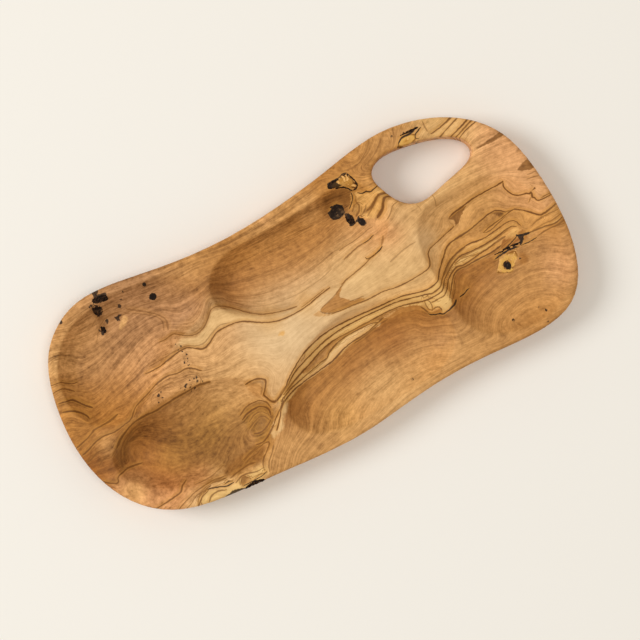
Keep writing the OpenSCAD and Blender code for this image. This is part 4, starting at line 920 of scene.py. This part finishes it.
def thin_base(board):
    """The flat base needs few faces, so its even skin gives way to one flat fill inside its border."""
    pick_only(board)
    bpy.ops.object.mode_set(mode="EDIT")
    bpy.ops.mesh.select_mode(type="FACE")
    bpy.ops.mesh.select_all(action="DESELECT")
    bpy.ops.object.mode_set(mode="OBJECT")
    base = (vertex_places(board)[:, 2].min() + BASE_SKIN) * MM
    for face in board.data.polygons:
        face.select = bool(face.normal.z < STRAIGHT_DOWN and face.center.z < base)
    bpy.ops.object.mode_set(mode="EDIT")
    bpy.ops.mesh.delete(type="FACE")
    bpy.ops.mesh.select_mode(type="EDGE")
    bpy.ops.mesh.select_all(action="DESELECT")
    bpy.ops.mesh.select_non_manifold(extend=False)
    bpy.ops.mesh.fill(use_beauty=False)
    bpy.ops.mesh.select_all(action="SELECT")
    bpy.ops.mesh.normals_make_consistent(inside=False)
    bpy.ops.object.mode_set(mode="OBJECT")


# The grain

def flowing(points, step):
    """Points about a step apart on a smooth curve through the given ones."""
    corners = np.asarray(points, float)
    padded = np.vstack([2 * corners[0] - corners[1], corners, 2 * corners[-1] - corners[-2]])
    runs = []
    for before, start, end, after in zip(padded, padded[1:], padded[2:], padded[3:]):
        count = max(1, int(round(np.hypot(*(end - start)) / step)))
        share = (np.arange(count) / count)[:, None]
        curve = 2 * start + (end - before) * share
        curve += (2 * before - 5 * start + 4 * end - after) * share ** 2
        curve += (3 * (start - end) + after - before) * share ** 3
        runs.append(curve / 2)
    return np.vstack(runs + [corners[-1:]])


def bent_sheet(places, rings):
    """A thin plate bent through the ring numbers, as a function of place."""
    stops = places / SHEET_SPAN

    def bend(spots):
        apart = ((spots[:, None] - stops[None]) ** 2).sum(-1)
        return np.where(apart > 0, apart * np.log(np.maximum(apart, 1e-12)), 0) * 0.5

    count = len(stops)
    flat = np.column_stack([np.ones(count), stops])
    system = np.zeros((count + 3, count + 3))
    system[:count, :count] = bend(stops) + SHEET_SLACK * np.eye(count)
    system[:count, count:] = flat
    system[count:, :count] = flat.T
    weights = np.linalg.solve(system, np.concatenate([rings, np.zeros(3)]))

    def ring_at(spots):
        found = []
        for start in range(0, len(spots), SPOTS_AT_ONCE):
            part = spots[start:start + SPOTS_AT_ONCE] / SHEET_SPAN
            level = weights[count] + part @ weights[count + 1:]
            found.append(bend(part) @ weights[:count] + level)
        return np.concatenate(found)

    return ring_at


def ring_slope(ring_at, spots):
    """Rings per millimetre at each spot, read off a coarse net of squares."""
    low = spots.min(axis=0) - NET_SQUARE
    columns, rows = (np.ceil((spots.max(axis=0) - low) / NET_SQUARE) + 2).astype(int)
    net_x, net_y = np.meshgrid(low[0] + NET_SQUARE * np.arange(columns),
                               low[1] + NET_SQUARE * np.arange(rows))
    net = ring_at(np.column_stack([net_x.ravel(), net_y.ravel()])).reshape(rows, columns)
    upward, across = np.gradient(net, NET_SQUARE)
    steep = np.hypot(across, upward)
    in_net = (spots - low) / NET_SQUARE
    column, row = np.floor(in_net).astype(int).T
    right, up = (in_net - np.floor(in_net)).T
    lower = steep[row, column] * (1 - right) + steep[row, column + 1] * right
    upper = steep[row + 1, column] * (1 - right) + steep[row + 1, column + 1] * right
    return np.clip(lower * (1 - up) + upper * up, *SLOPE_RANGE)


def distance_to_line(spots, line):
    """The distance of each spot to a run of straight pieces, and how far along it lies."""
    corners = np.asarray(line, float)
    lengths = np.hypot(*np.diff(corners, axis=0).T)
    walked = np.concatenate([[0], np.cumsum(lengths)])
    nearest = np.full(len(spots), np.inf)
    along = np.zeros(len(spots))
    for index in range(len(corners) - 1):
        run = corners[index + 1] - corners[index]
        share = np.clip((spots - corners[index]) @ run / (run @ run), 0, 1)
        apart = np.hypot(*(spots - corners[index] - share[:, None] * run).T)
        closer = apart < nearest
        nearest[closer] = apart[closer]
        along[closer] = (walked[index] + share[closer] * lengths[index]) / walked[-1]
    return nearest, along


def near_line(spots, line, reach):
    corners = np.asarray(line, float)
    low = corners.min(axis=0) - reach
    high = corners.max(axis=0) + reach
    return np.flatnonzero(((spots > low) & (spots < high)).all(axis=1))


def striped(spots):
    """How strongly the wood is striped near the drawn grain lines."""
    amount = np.zeros(len(spots))
    for _, dark, _, line in GRAIN_LINES:
        near = near_line(spots, line, 3 * STRIPE_REACH)
        apart, _ = distance_to_line(spots[near], line)
        amount[near] = np.maximum(amount[near], dark * np.exp(-((apart / STRIPE_REACH) ** 2)))
    return amount


def beside_path(spots, path):
    """The spots close to a path: which they are, their signed offset, how far along or past it they lie."""
    walked = np.concatenate([[0], np.cumsum(np.hypot(*np.diff(path, axis=0).T))])
    order = np.argsort(spots[:, 0], kind="stable")
    sorted_x = spots[order, 0]
    nearest = np.full(len(spots), np.inf)
    offset = np.zeros(len(spots))
    along = np.zeros(len(spots))
    last = len(path) - 2
    for start in range(0, len(path) - 1, PATH_PIECES):
        part = path[start:start + PATH_PIECES + 1]
        low = part.min(axis=0) - LINE_ROOM
        high = part.max(axis=0) + LINE_ROOM
        first_row, last_row = np.searchsorted(sorted_x, [low[0], high[0]])
        near = order[first_row:last_row]
        near = near[(spots[near, 1] > low[1]) & (spots[near, 1] < high[1])]
        run = np.diff(part, axis=0)
        length = np.hypot(*run.T)
        reach = spots[near, None] - part[None, :-1]
        raw = (reach * run).sum(-1) / length ** 2
        apart = np.linalg.norm(reach - np.clip(raw, 0, 1)[..., None] * run, axis=-1)
        pick = apart.argmin(axis=1)
        row = np.arange(len(near))
        closer = apart[row, pick] < nearest[near]
        row, pick, near = row[closer], pick[closer], near[closer]
        share = raw[row, pick]
        share = np.where(start + pick > 0, np.maximum(share, 0), share)
        share = np.where(start + pick < last, np.minimum(share, 1), share)
        side = run[pick, 0] * reach[row, pick, 1] - run[pick, 1] * reach[row, pick, 0]
        nearest[near] = apart[row, pick]
        offset[near] = side / length[pick]
        along[near] = walked[start + pick] + share * length[pick]
    close = np.flatnonzero(nearest < LINE_ROOM)
    return close, offset[close], along[close], walked[-1]


def drawn_lines(spots):
    """Offset, half width and darkness of the lines, in layers, so that lines in one layer stay apart."""
    layers = [np.tile(NO_LINE, (len(spots), 1)) for _ in range(LINE_LAYERS)]
    strokes = [(dark, width, width, line) for _, dark, width, line in GRAIN_LINES if dark > 0]
    strokes += FREE_LINES
    strokes += [(BLACK_DARKNESS, first, last, line) for first, last, line in BLACK_LINES]
    for dark, first, last, line in strokes:
        close, offset, along, whole = beside_path(spots, flowing(line, LINE_STEP))
        half = (first + (last - first) * np.clip(along / whole, 0, 1)) / 2
        half *= np.clip((np.minimum(along, whole - along) + LINE_BLUNT) / LINE_TAPER, 0, 1) ** 0.5
        past = np.maximum(np.maximum(-along, along - whole), 0)
        taken = [np.count_nonzero(layer[close, 1] > NO_LINE[1]) for layer in layers]
        layer = layers[int(np.argmin(taken))]
        free = np.abs(offset) + past < np.abs(layer[close, 0])
        drawn = np.column_stack([offset, half - past, np.full(len(close), dark)])
        layer[close[free]] = drawn[free]
    return layers


def stained(spots):
    """How strong the soft brown stains are, each fading out over its edge."""
    amount = np.zeros(len(spots))
    for strength, first, last, line in BROWN_STAINS:
        near = near_line(spots, line, STAIN_ROOM + 2 * max(first, last))
        apart, along = distance_to_line(spots[near], line)
        half = (first + (last - first) * along) / 2
        outer = STAIN_OUTER[0] * half + STAIN_OUTER[1]
        inner = STAIN_INNER[0] * half + STAIN_INNER[1]
        soft = np.clip((outer - apart) / (outer - inner), 0, 1)
        amount[near] = np.maximum(amount[near], strength * soft)
    return amount


def depth_inside(spots, corners):
    """The spots near a closed outline, and how far inside it they lie."""
    border = np.asarray(corners + corners[:1], float)
    near = near_line(spots, border, PATCH_ROOM)
    apart, _ = distance_to_line(spots[near], border)
    crossings = np.zeros(len(near), int)
    for (x0, y0), (x1, y1) in zip(border[:-1], border[1:]):
        spans = (spots[near, 1] < y0) != (spots[near, 1] < y1)
        across = x0 + (spots[near, 1] - y0) * (x1 - x0) / (y1 - y0 if y1 != y0 else 1)
        crossings += spans & (spots[near, 0] < across)
    return near, np.where(crossings % 2 == 1, apart, -apart)


def patched(spots):
    """How far inside a patch each spot lies, with the patch's softness and tone. Later patches cover."""
    inside = np.full(len(spots), NO_PATCH)
    softness = np.full(len(spots), PLAIN_SOFTNESS)
    tones = np.zeros((len(spots), 3))
    for tone, soft, corners in PATCHES:
        near, depth = depth_inside(spots, corners)
        better = (depth > 0) | (depth > inside[near])
        chosen = near[better]
        inside[chosen] = depth[better]
        softness[chosen] = soft
        tones[chosen] = linear(TONES[tone])
    return inside, softness, tones


def flecked(spots):
    """How far inside a fleck or a black patch each spot lies."""
    inside = np.full(len(spots), NO_PATCH)
    for x, y, size in FLECKS:
        inside = np.maximum(inside, size / 2 - np.hypot(spots[:, 0] - x, spots[:, 1] - y))
    for corners in BLACK_PATCHES:
        near, depth = depth_inside(spots, corners)
        inside[near] = np.maximum(inside[near], depth)
    return inside


def toned(spots, zones, plain):
    """The tone at each spot, mixed from the zones that reach it."""
    total = np.full(len(spots), TONE_FLOOR)
    mixed = np.outer(total, linear(TONES[plain]))
    for tone, middles in zones.items():
        for x, y, reach in middles:
            share = np.exp(-((spots[:, 0] - x) ** 2 + (spots[:, 1] - y) ** 2) / reach ** 2)
            total += share
            mixed += np.outer(share, linear(TONES[tone]))
    return mixed / total[:, None]


def drawing_spots(board, places):
    """The spot each point takes its drawing from: its own, or on the sides one further in from the rim."""
    facing = vertex_values(board, "normal")
    outward = facing[:, :2] / np.maximum(np.hypot(*facing[:, :2].T), LEAST_LEAN)[:, None]
    side = np.clip((SIDE_TILT - facing[:, 2]) / SIDE_BLEND, 0, 1)
    fall = np.clip(BOARD_TOP / MM - EDGE_ROUND - places[:, 2], 0, None)
    return places[:, :2] - outward * (side * fall * SIDE_UNFOLDS)[:, None]


def draw_grain(board):
    """Ring number and slope, lines, patches, stains and tones, kept on the board's own points."""
    places = vertex_places(board)
    spots = drawing_spots(board, places)
    samples = [flowing(line, RING_STEP) for _, _, _, line in GRAIN_LINES]
    rings = [np.full(len(stops), float(entry[0])) for entry, stops in zip(GRAIN_LINES, samples)]
    ring_at = bent_sheet(np.concatenate(samples), np.concatenate(rings))
    ring = ring_at(spots)
    below = np.clip(LOW_SIDE - places[:, 2], 0, None)
    deep = np.clip(BOARD_TOP / MM - places[:, 2], 0, DEEPEST_CUT)
    deep *= np.clip((ring - DEPTH_SHOWS_FROM) / DEPTH_SHOWS_OVER, 0, 1)
    keep_number(board, "ring", ring + RINGS_DOWN_SIDE * below + RINGS_PER_DEPTH * deep)
    keep_number(board, "ring_slope", ring_slope(ring_at, spots))
    keep_number(board, "striped", striped(spots))
    for index, layer in enumerate(drawn_lines(spots)):
        keep_vector(board, "line_layer_%d" % index, layer)
    inside, softness, tones = patched(spots)
    keep_number(board, "patch_inside", inside)
    keep_number(board, "patch_softness", softness)
    keep_tone(board, "patch_tone", tones)
    keep_number(board, "brown_stain", stained(spots))
    keep_number(board, "fleck_inside", flecked(spots))
    keep_tone(board, "sapwood", toned(spots, SAPWOOD, "honey"))
    keep_tone(board, "heartwood", toned(spots, HEARTWOOD, "honey"))


# Knots and bark

def make_inlay(node, board, ragged):
    """A knot or a bark pocket, finely skinned, its face laid on the carved surface."""
    piece = merged_copy([node], "visible_" + node)
    skin_evenly(piece, KNOT_VOXEL)
    if ragged:
        push_by_clouds(piece, node + "_edge", BARK_EDGE_WAVE_LENGTH, 2, mid_level=0.5,
                       strength=2 * BARK_EDGE_WANDER * MM)
    apply_modifier(piece, "SMOOTH", factor=SMOOTHING, iterations=KNOT_SMOOTHING_TURNS)
    group_vertices(piece, "face", vertex_values(piece, "normal")[:, 2] > KNOT_FACE_TILT)
    apply_modifier(piece, "SHRINKWRAP", target=board, wrap_method="PROJECT", use_project_z=True,
                   use_negative_direction=True, use_positive_direction=True, vertex_group="face",
                   offset=KNOT_STANDS_PROUD * MM)
    places = vertex_places(piece)
    low = places.min(axis=0)
    high = places.max(axis=0)
    reach = (places[:, :2] - (low + high)[:2] / 2) / ((high - low)[:2] / 2)
    keep_number(piece, "from_middle", np.hypot(*reach.T))
    keep_number(piece, "fleck_inside", flecked(places[:, :2]))
    shade_smooth(piece)
    return piece


# Materials

def new_material(name):
    material = bpy.data.materials.new(name)
    material.use_nodes = True
    tree = material.node_tree
    return material, tree, tree.nodes["Principled BSDF"]


def feed(tree, socket, value):
    """Joins a socket to another one, or writes a plain value on it."""
    if isinstance(value, bpy.types.NodeSocket):
        tree.links.new(value, socket)
    else:
        socket.default_value = value


def finish(tree, surface, tone, rough, shine):
    feed(tree, surface.inputs["Base Color"], tone)
    feed(tree, surface.inputs["Roughness"], rough)
    feed(tree, surface.inputs["Specular IOR Level"], shine)


def calc(tree, operation, first, second=0.0, clamp=False):
    step = tree.nodes.new("ShaderNodeMath")
    step.operation = operation
    step.use_clamp = clamp
    feed(tree, step.inputs[0], first)
    feed(tree, step.inputs[1], second)
    return step.outputs[0]


def plus(tree, total, *terms):
    for term in terms:
        total = calc(tree, "ADD", total, term)
    return total


def times(tree, product, *factors):
    for factor in factors:
        product = calc(tree, "MULTIPLY", product, factor)
    return product


def ease(tree, value, from_low, from_high, to_low=0.0, to_high=1.0):
    step = tree.nodes.new("ShaderNodeMapRange")
    step.interpolation_type = "SMOOTHSTEP"
    for name, given in zip(("Value", "From Min", "From Max", "To Min", "To Max"),
                           (value, from_low, from_high, to_low, to_high)):
        feed(tree, step.inputs[name], given)
    return step.outputs["Result"]


def blend_colour(tree, amount, under, over, way="MIX"):
    step = tree.nodes.new("ShaderNodeMix")
    step.data_type = "RGBA"
    step.blend_type = way
    feed(tree, step.inputs["Factor"], amount)
    feed(tree, step.inputs[6], under)
    feed(tree, step.inputs[7], over)
    return step.outputs[2]


def kept(tree, name, output="Fac"):
    step = tree.nodes.new("ShaderNodeAttribute")
    step.attribute_name = name
    return step.outputs[output]


def noise(tree, vector, scale, detail, rough):
    step = tree.nodes.new("ShaderNodeTexNoise")
    feed(tree, step.inputs["Vector"], vector)
    step.inputs["Scale"].default_value = scale
    step.inputs["Detail"].default_value = detail
    step.inputs["Roughness"].default_value = rough
    return step.outputs["Fac"]


def swing(tree, vector, pattern):
    """An even pattern that swings about nought."""
    return plus(tree, noise(tree, vector, *pattern), -0.5)


def own_place(tree):
    return tree.nodes.new("ShaderNodeTexCoord").outputs["Object"]


def split(tree, vector):
    step = tree.nodes.new("ShaderNodeSeparateXYZ")
    feed(tree, step.inputs[0], vector)
    return step.outputs


def joined(tree, x, y, z):
    step = tree.nodes.new("ShaderNodeCombineXYZ")
    for socket, value in zip(step.inputs, (x, y, z)):
        feed(tree, socket, value)
    return step.outputs[0]


def bump(tree, height, depth):
    step = tree.nodes.new("ShaderNodeBump")
    step.inputs["Distance"].default_value = depth * MM
    step.inputs["Strength"].default_value = 1.0
    feed(tree, step.inputs["Height"], height)
    return step.outputs["Normal"]


def grain_patterns(tree, place, axes, rings):
    """Patterns drawn out along the grain, which follows the rings, and even ones."""
    patterns = {}
    for name, (along, across, down, detail, rough) in (
            ("streak", STREAKS), ("fibre", FIBRES), ("pore", PORES), ("swathe", SWATHES)):
        stretched = joined(tree, times(tree, axes["X"], along), times(tree, rings, across),
                           times(tree, axes["Z"], down))
        patterns[name] = noise(tree, stretched, 1.0, detail, rough)
    for name, pattern in (("cloud", CLOUDS), ("figure", FIGURE), ("patchy", PATCHINESS)):
        patterns[name] = noise(tree, place, *pattern)
    return patterns


def lay_patches(tree, wood, wander, shiver):
    soft = kept(tree, "patch_softness")
    inside = plus(tree, kept(tree, "patch_inside"), times(tree, shiver, PATCH_SHIVER),
                  times(tree, wander, soft, PATCH_WANDER))
    patch = ease(tree, inside, times(tree, soft, -1.0), soft)
    return blend_colour(tree, times(tree, patch, PATCH_COVER), wood, kept(tree, "patch_tone", "Color"))


def grain_light(tree, axes, rings, heart, wood, patterns):
    """How light each spot is beside its plain tone. Pale wood is calmer than dark wood."""
    wild = calc(tree, "MAXIMUM", ease(tree, axes["X"], *WILD_LEFT_END), ease(tree, axes["Y"], *WILD_BACK))
    strength = times(tree, wild, ease(tree, split(tree, wood)["Y"], *CALM_WHEN_PALE))
    figure = plus(tree, *(times(tree, patterns[name], share) for name, share in FIGURE_LIGHT.items()))
    figure = plus(tree, figure, -sum(FIGURE_LIGHT.values()) / 2)
    year_tone = tree.nodes.new("ShaderNodeTexWhiteNoise")
    year_tone.noise_dimensions = "1D"
    feed(tree, year_tone.inputs["W"], calc(tree, "FLOOR", rings))
    year = times(tree, plus(tree, year_tone.outputs["Value"], -0.5), kept(tree, "striped"))
    off_ring = calc(tree, "DIVIDE", calc(tree, "PINGPONG", rings, 0.5), kept(tree, "ring_slope"))
    year_line = times(tree, ease(tree, off_ring, *YEAR_LINE), times(tree, heart, patterns["patchy"]))
    return plus(tree, times(tree, figure, strength), times(tree, patterns["cloud"], CLOUD_LIGHT),
                times(tree, year, YEAR_LIGHT), PLAIN_LIGHT, times(tree, year_line, YEAR_LINE_LIGHT),
                ease(tree, patterns["pore"], *PORE_EDGE))


def lay_lines(tree, wood, patchy, wobble):
    """The drawn lines, layer by layer: a crisp brown or black core in a soft brown band."""
    cores = 0.0
    for index in range(LINE_LAYERS):
        parts = split(tree, kept(tree, "line_layer_%d" % index, "Vector"))
        aside = plus(tree, parts["X"], wobble)
        off = calc(tree, "ABSOLUTE", aside)
        half = times(tree, parts["Y"], ease(tree, patchy, *LINE_SWELL))
        brown = calc(tree, "MINIMUM", parts["Z"], 1.0)
        black = calc(tree, "SUBTRACT", parts["Z"], 1.0, clamp=True)
        drawn = calc(tree, "GREATER_THAN", half, 0.0)
        core = times(tree, ease(tree, off, half, times(tree, half, LINE_CORE)), drawn, brown)
        fade = plus(tree, half, ease(tree, aside, *BAND_FADE))
        band = times(tree, ease(tree, off, fade, half), drawn, brown, brown)
        wood = blend_colour(tree, times(tree, band, BAND_COVER), wood, colour(LINE_GOLD))
        line_tone = blend_colour(tree, black, colour(GRAIN_BROWN), colour(SEAM_BLACK))
        wood = blend_colour(tree, times(tree, core, LINE_COVER), wood, line_tone)
        cores = calc(tree, "MAXIMUM", core, cores)
    return wood, cores


def blackened(tree, tone, ragged):
    """Black where flecks and black patches lie, with a ragged edge."""
    fleck = plus(tree, kept(tree, "fleck_inside"), ragged)
    return blend_colour(tree, ease(tree, fleck, *FLECK_EDGE), tone, colour(SEAM_BLACK))


def olive_wood():
    """Oiled olive wood: drawn lines and patches, year rings, fibres and pores along the grain."""
    material, tree, surface = new_material("oiled_olive_wood")
    place = own_place(tree)
    axes = split(tree, place)
    wander = swing(tree, place, WANDER)
    shiver = swing(tree, place, SHIVER)
    rings = plus(tree, kept(tree, "ring"), times(tree, wander, RING_WANDER),
                 times(tree, shiver, RING_SHIVER))
    patterns = grain_patterns(tree, place, axes, rings)

    heart = ease(tree, rings, HEARTWOOD_STARTS - HEARTWOOD_EDGE, HEARTWOOD_STARTS + HEARTWOOD_EDGE)
    wood = blend_colour(tree, heart, kept(tree, "sapwood", "Color"), kept(tree, "heartwood", "Color"))
    wood = lay_patches(tree, wood, wander, shiver)
    light = grain_light(tree, axes, rings, heart, wood, patterns)
    shade = joined(tree, light, calc(tree, "POWER", light, GREEN_POWER),
                   calc(tree, "POWER", light, BLUE_POWER))
    wood = blend_colour(tree, 1.0, wood, shade, "MULTIPLY")

    stain = plus(tree, kept(tree, "brown_stain"), times(tree, shiver, STAIN_SHIVER))
    wood = blend_colour(tree, ease(tree, stain, *STAIN_EDGE), wood, colour(STAIN_BROWN))
    wood, cores = lay_lines(tree, wood, patterns["patchy"], times(tree, shiver, LINE_SHIVER))
    wood = blackened(tree, wood, times(tree, shiver, FLECK_SHIVER))
    finish(tree, surface, wood, ease(tree, patterns["streak"], *WOOD_ROUGHNESS), WOOD_SHINE)
    relief = plus(tree, patterns["fibre"], times(tree, cores, LINE_RELIEF))
    feed(tree, surface.inputs["Normal"], bump(tree, relief, WOOD_RELIEF))
    return material


def bark():
    """Old bark: nearly black, crumbly, with brown ridges."""
    material, tree, surface = new_material("dark_bark")
    place = own_place(tree)
    crumb = noise(tree, place, *BARK_CRUMBS)
    ridge = noise(tree, place, *BARK_RIDGES)
    tone = blend_colour(tree, ease(tree, crumb, *BARK_CRUMB_EDGE), colour(BARK_HOLLOW), colour(BARK_CRUMB))
    tone = blend_colour(tree, ease(tree, ridge, *BARK_RIDGE_EDGE), tone, colour(BARK_RIDGE))
    finish(tree, surface, tone, BARK_ROUGHNESS, BARK_SHINE)
    feed(tree, surface.inputs["Normal"], bump(tree, crumb, BARK_RELIEF))
    return material


def knot(name, middle, body, edge):
    """A cut branch stub: rings about its middle, checks across them and a darker edge."""
    material, tree, surface = new_material(name)
    place = own_place(tree)
    shake = noise(tree, place, *KNOT_SHAKES)
    speck = noise(tree, place, *KNOT_SPECKS)
    spread = plus(tree, kept(tree, "from_middle"), times(tree, shake, KNOT_RING_SHAKE))
    year = calc(tree, "PINGPONG", times(tree, spread, KNOT_RINGS), 0.5)
    tone = blend_colour(tree, ease(tree, spread, *KNOT_BODY_EDGE), colour(middle), colour(body))
    for pattern, limits in ((year, KNOT_RING_EDGE), (spread, KNOT_RIM_EDGE), (speck, KNOT_SPECK_EDGE)):
        tone = blend_colour(tree, ease(tree, pattern, *limits), tone, colour(edge))
    tone = blackened(tree, tone, plus(tree, shake, -0.5))
    finish(tree, surface, tone, KNOT_ROUGHNESS, KNOT_SHINE)
    feed(tree, surface.inputs["Normal"], bump(tree, plus(tree, speck, shake), KNOT_RELIEF))
    return material


def dress(piece, material, slot, *nodes):
    piece.data.materials.clear()
    piece.data.materials.append(material)
    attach(piece, "root")
    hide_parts(*nodes)


# The stage: floor, lights and the camera

def lay_floor():
    bpy.ops.object.select_all(action="DESELECT")
    bpy.ops.mesh.primitive_plane_add(size=FLOOR_SIZE, location=(0, 0, 0))
    floor = bpy.context.object
    floor.name = "floor"
    material, tree, surface = new_material("pale_paper")
    finish(tree, surface, colour(FLOOR_TONE), FLOOR_ROUGHNESS, FLOOR_SHINE)
    floor.data.materials.append(material)


def hang_lamp(name, side, rise, away, size, watts):
    heading = math.radians(side) - BOARD_TURN
    rise = math.radians(rise)
    level = away * math.cos(rise)
    place = (level * math.cos(heading), level * math.sin(heading), away * math.sin(rise))
    bpy.ops.object.light_add(type="AREA", location=place, rotation=(0, math.pi / 2 - rise, heading))
    lamp = bpy.context.object
    lamp.name = name
    lamp.data.shape = "DISK"
    lamp.data.size = size
    lamp.data.energy = watts
    lamp.data.color = LAMP_COLOUR


def light_room():
    world = bpy.data.worlds.new("soft_room")
    world.use_nodes = True
    room = world.node_tree.nodes["Background"]
    room.inputs["Color"].default_value = ROOM_COLOUR
    room.inputs["Strength"].default_value = ROOM_LIGHT
    bpy.context.scene.world = world


def set_camera():
    middle_x, middle_y = (part * MM for part in FRAME_MIDDLE)
    bpy.ops.object.camera_add(location=(middle_x, middle_y, BOARD_TOP + CAMERA_HEIGHT),
                              rotation=(0, 0, -BOARD_TURN))
    camera = bpy.context.object
    camera.data.sensor_width = SENSOR_WIDTH
    camera.data.lens = SENSOR_WIDTH * CAMERA_HEIGHT / (FRAME_PIXELS * PIXEL_IN_MM * MM)
    camera.data.clip_end = CAMERA_REACH
    bpy.context.scene.camera = camera


carved_board = carve_board()
draw_grain(carved_board)
inlays = {}
for node in BARK_NODES + DARK_KNOT_NODES + GOLDEN_KNOT_NODES:
    inlays[node] = make_inlay(node, carved_board, node not in ROUND_KNOT_NODES)

dress(carved_board, olive_wood(), "olive_wood", "board")
bark_material = bark()
for node in BARK_NODES:
    dress(inlays[node], bark_material, "bark", node)
dark_knot_material = knot("dark_knot_wood", *DARK_KNOT)
heart_material = knot("knot_heart_wood", *KNOT_HEART)
for node in DARK_KNOT_NODES:
    material = heart_material if node.endswith("heart") else dark_knot_material
    dress(inlays[node], material, "dark_knot", node)
golden_knot_material = knot("golden_knot_wood", *GOLDEN_KNOT)
amber_knot_material = knot("amber_knot_wood", *AMBER_KNOT)
for node in GOLDEN_KNOT_NODES:
    material = amber_knot_material if node == "top_rim_knot" else golden_knot_material
    dress(inlays[node], material, "golden_knot", node)

lay_floor()
for lamp_name, lamp in LAMPS.items():
    hang_lamp(lamp_name, *lamp)
light_room()
set_camera()
bpy.context.scene.view_settings.view_transform = "Standard"
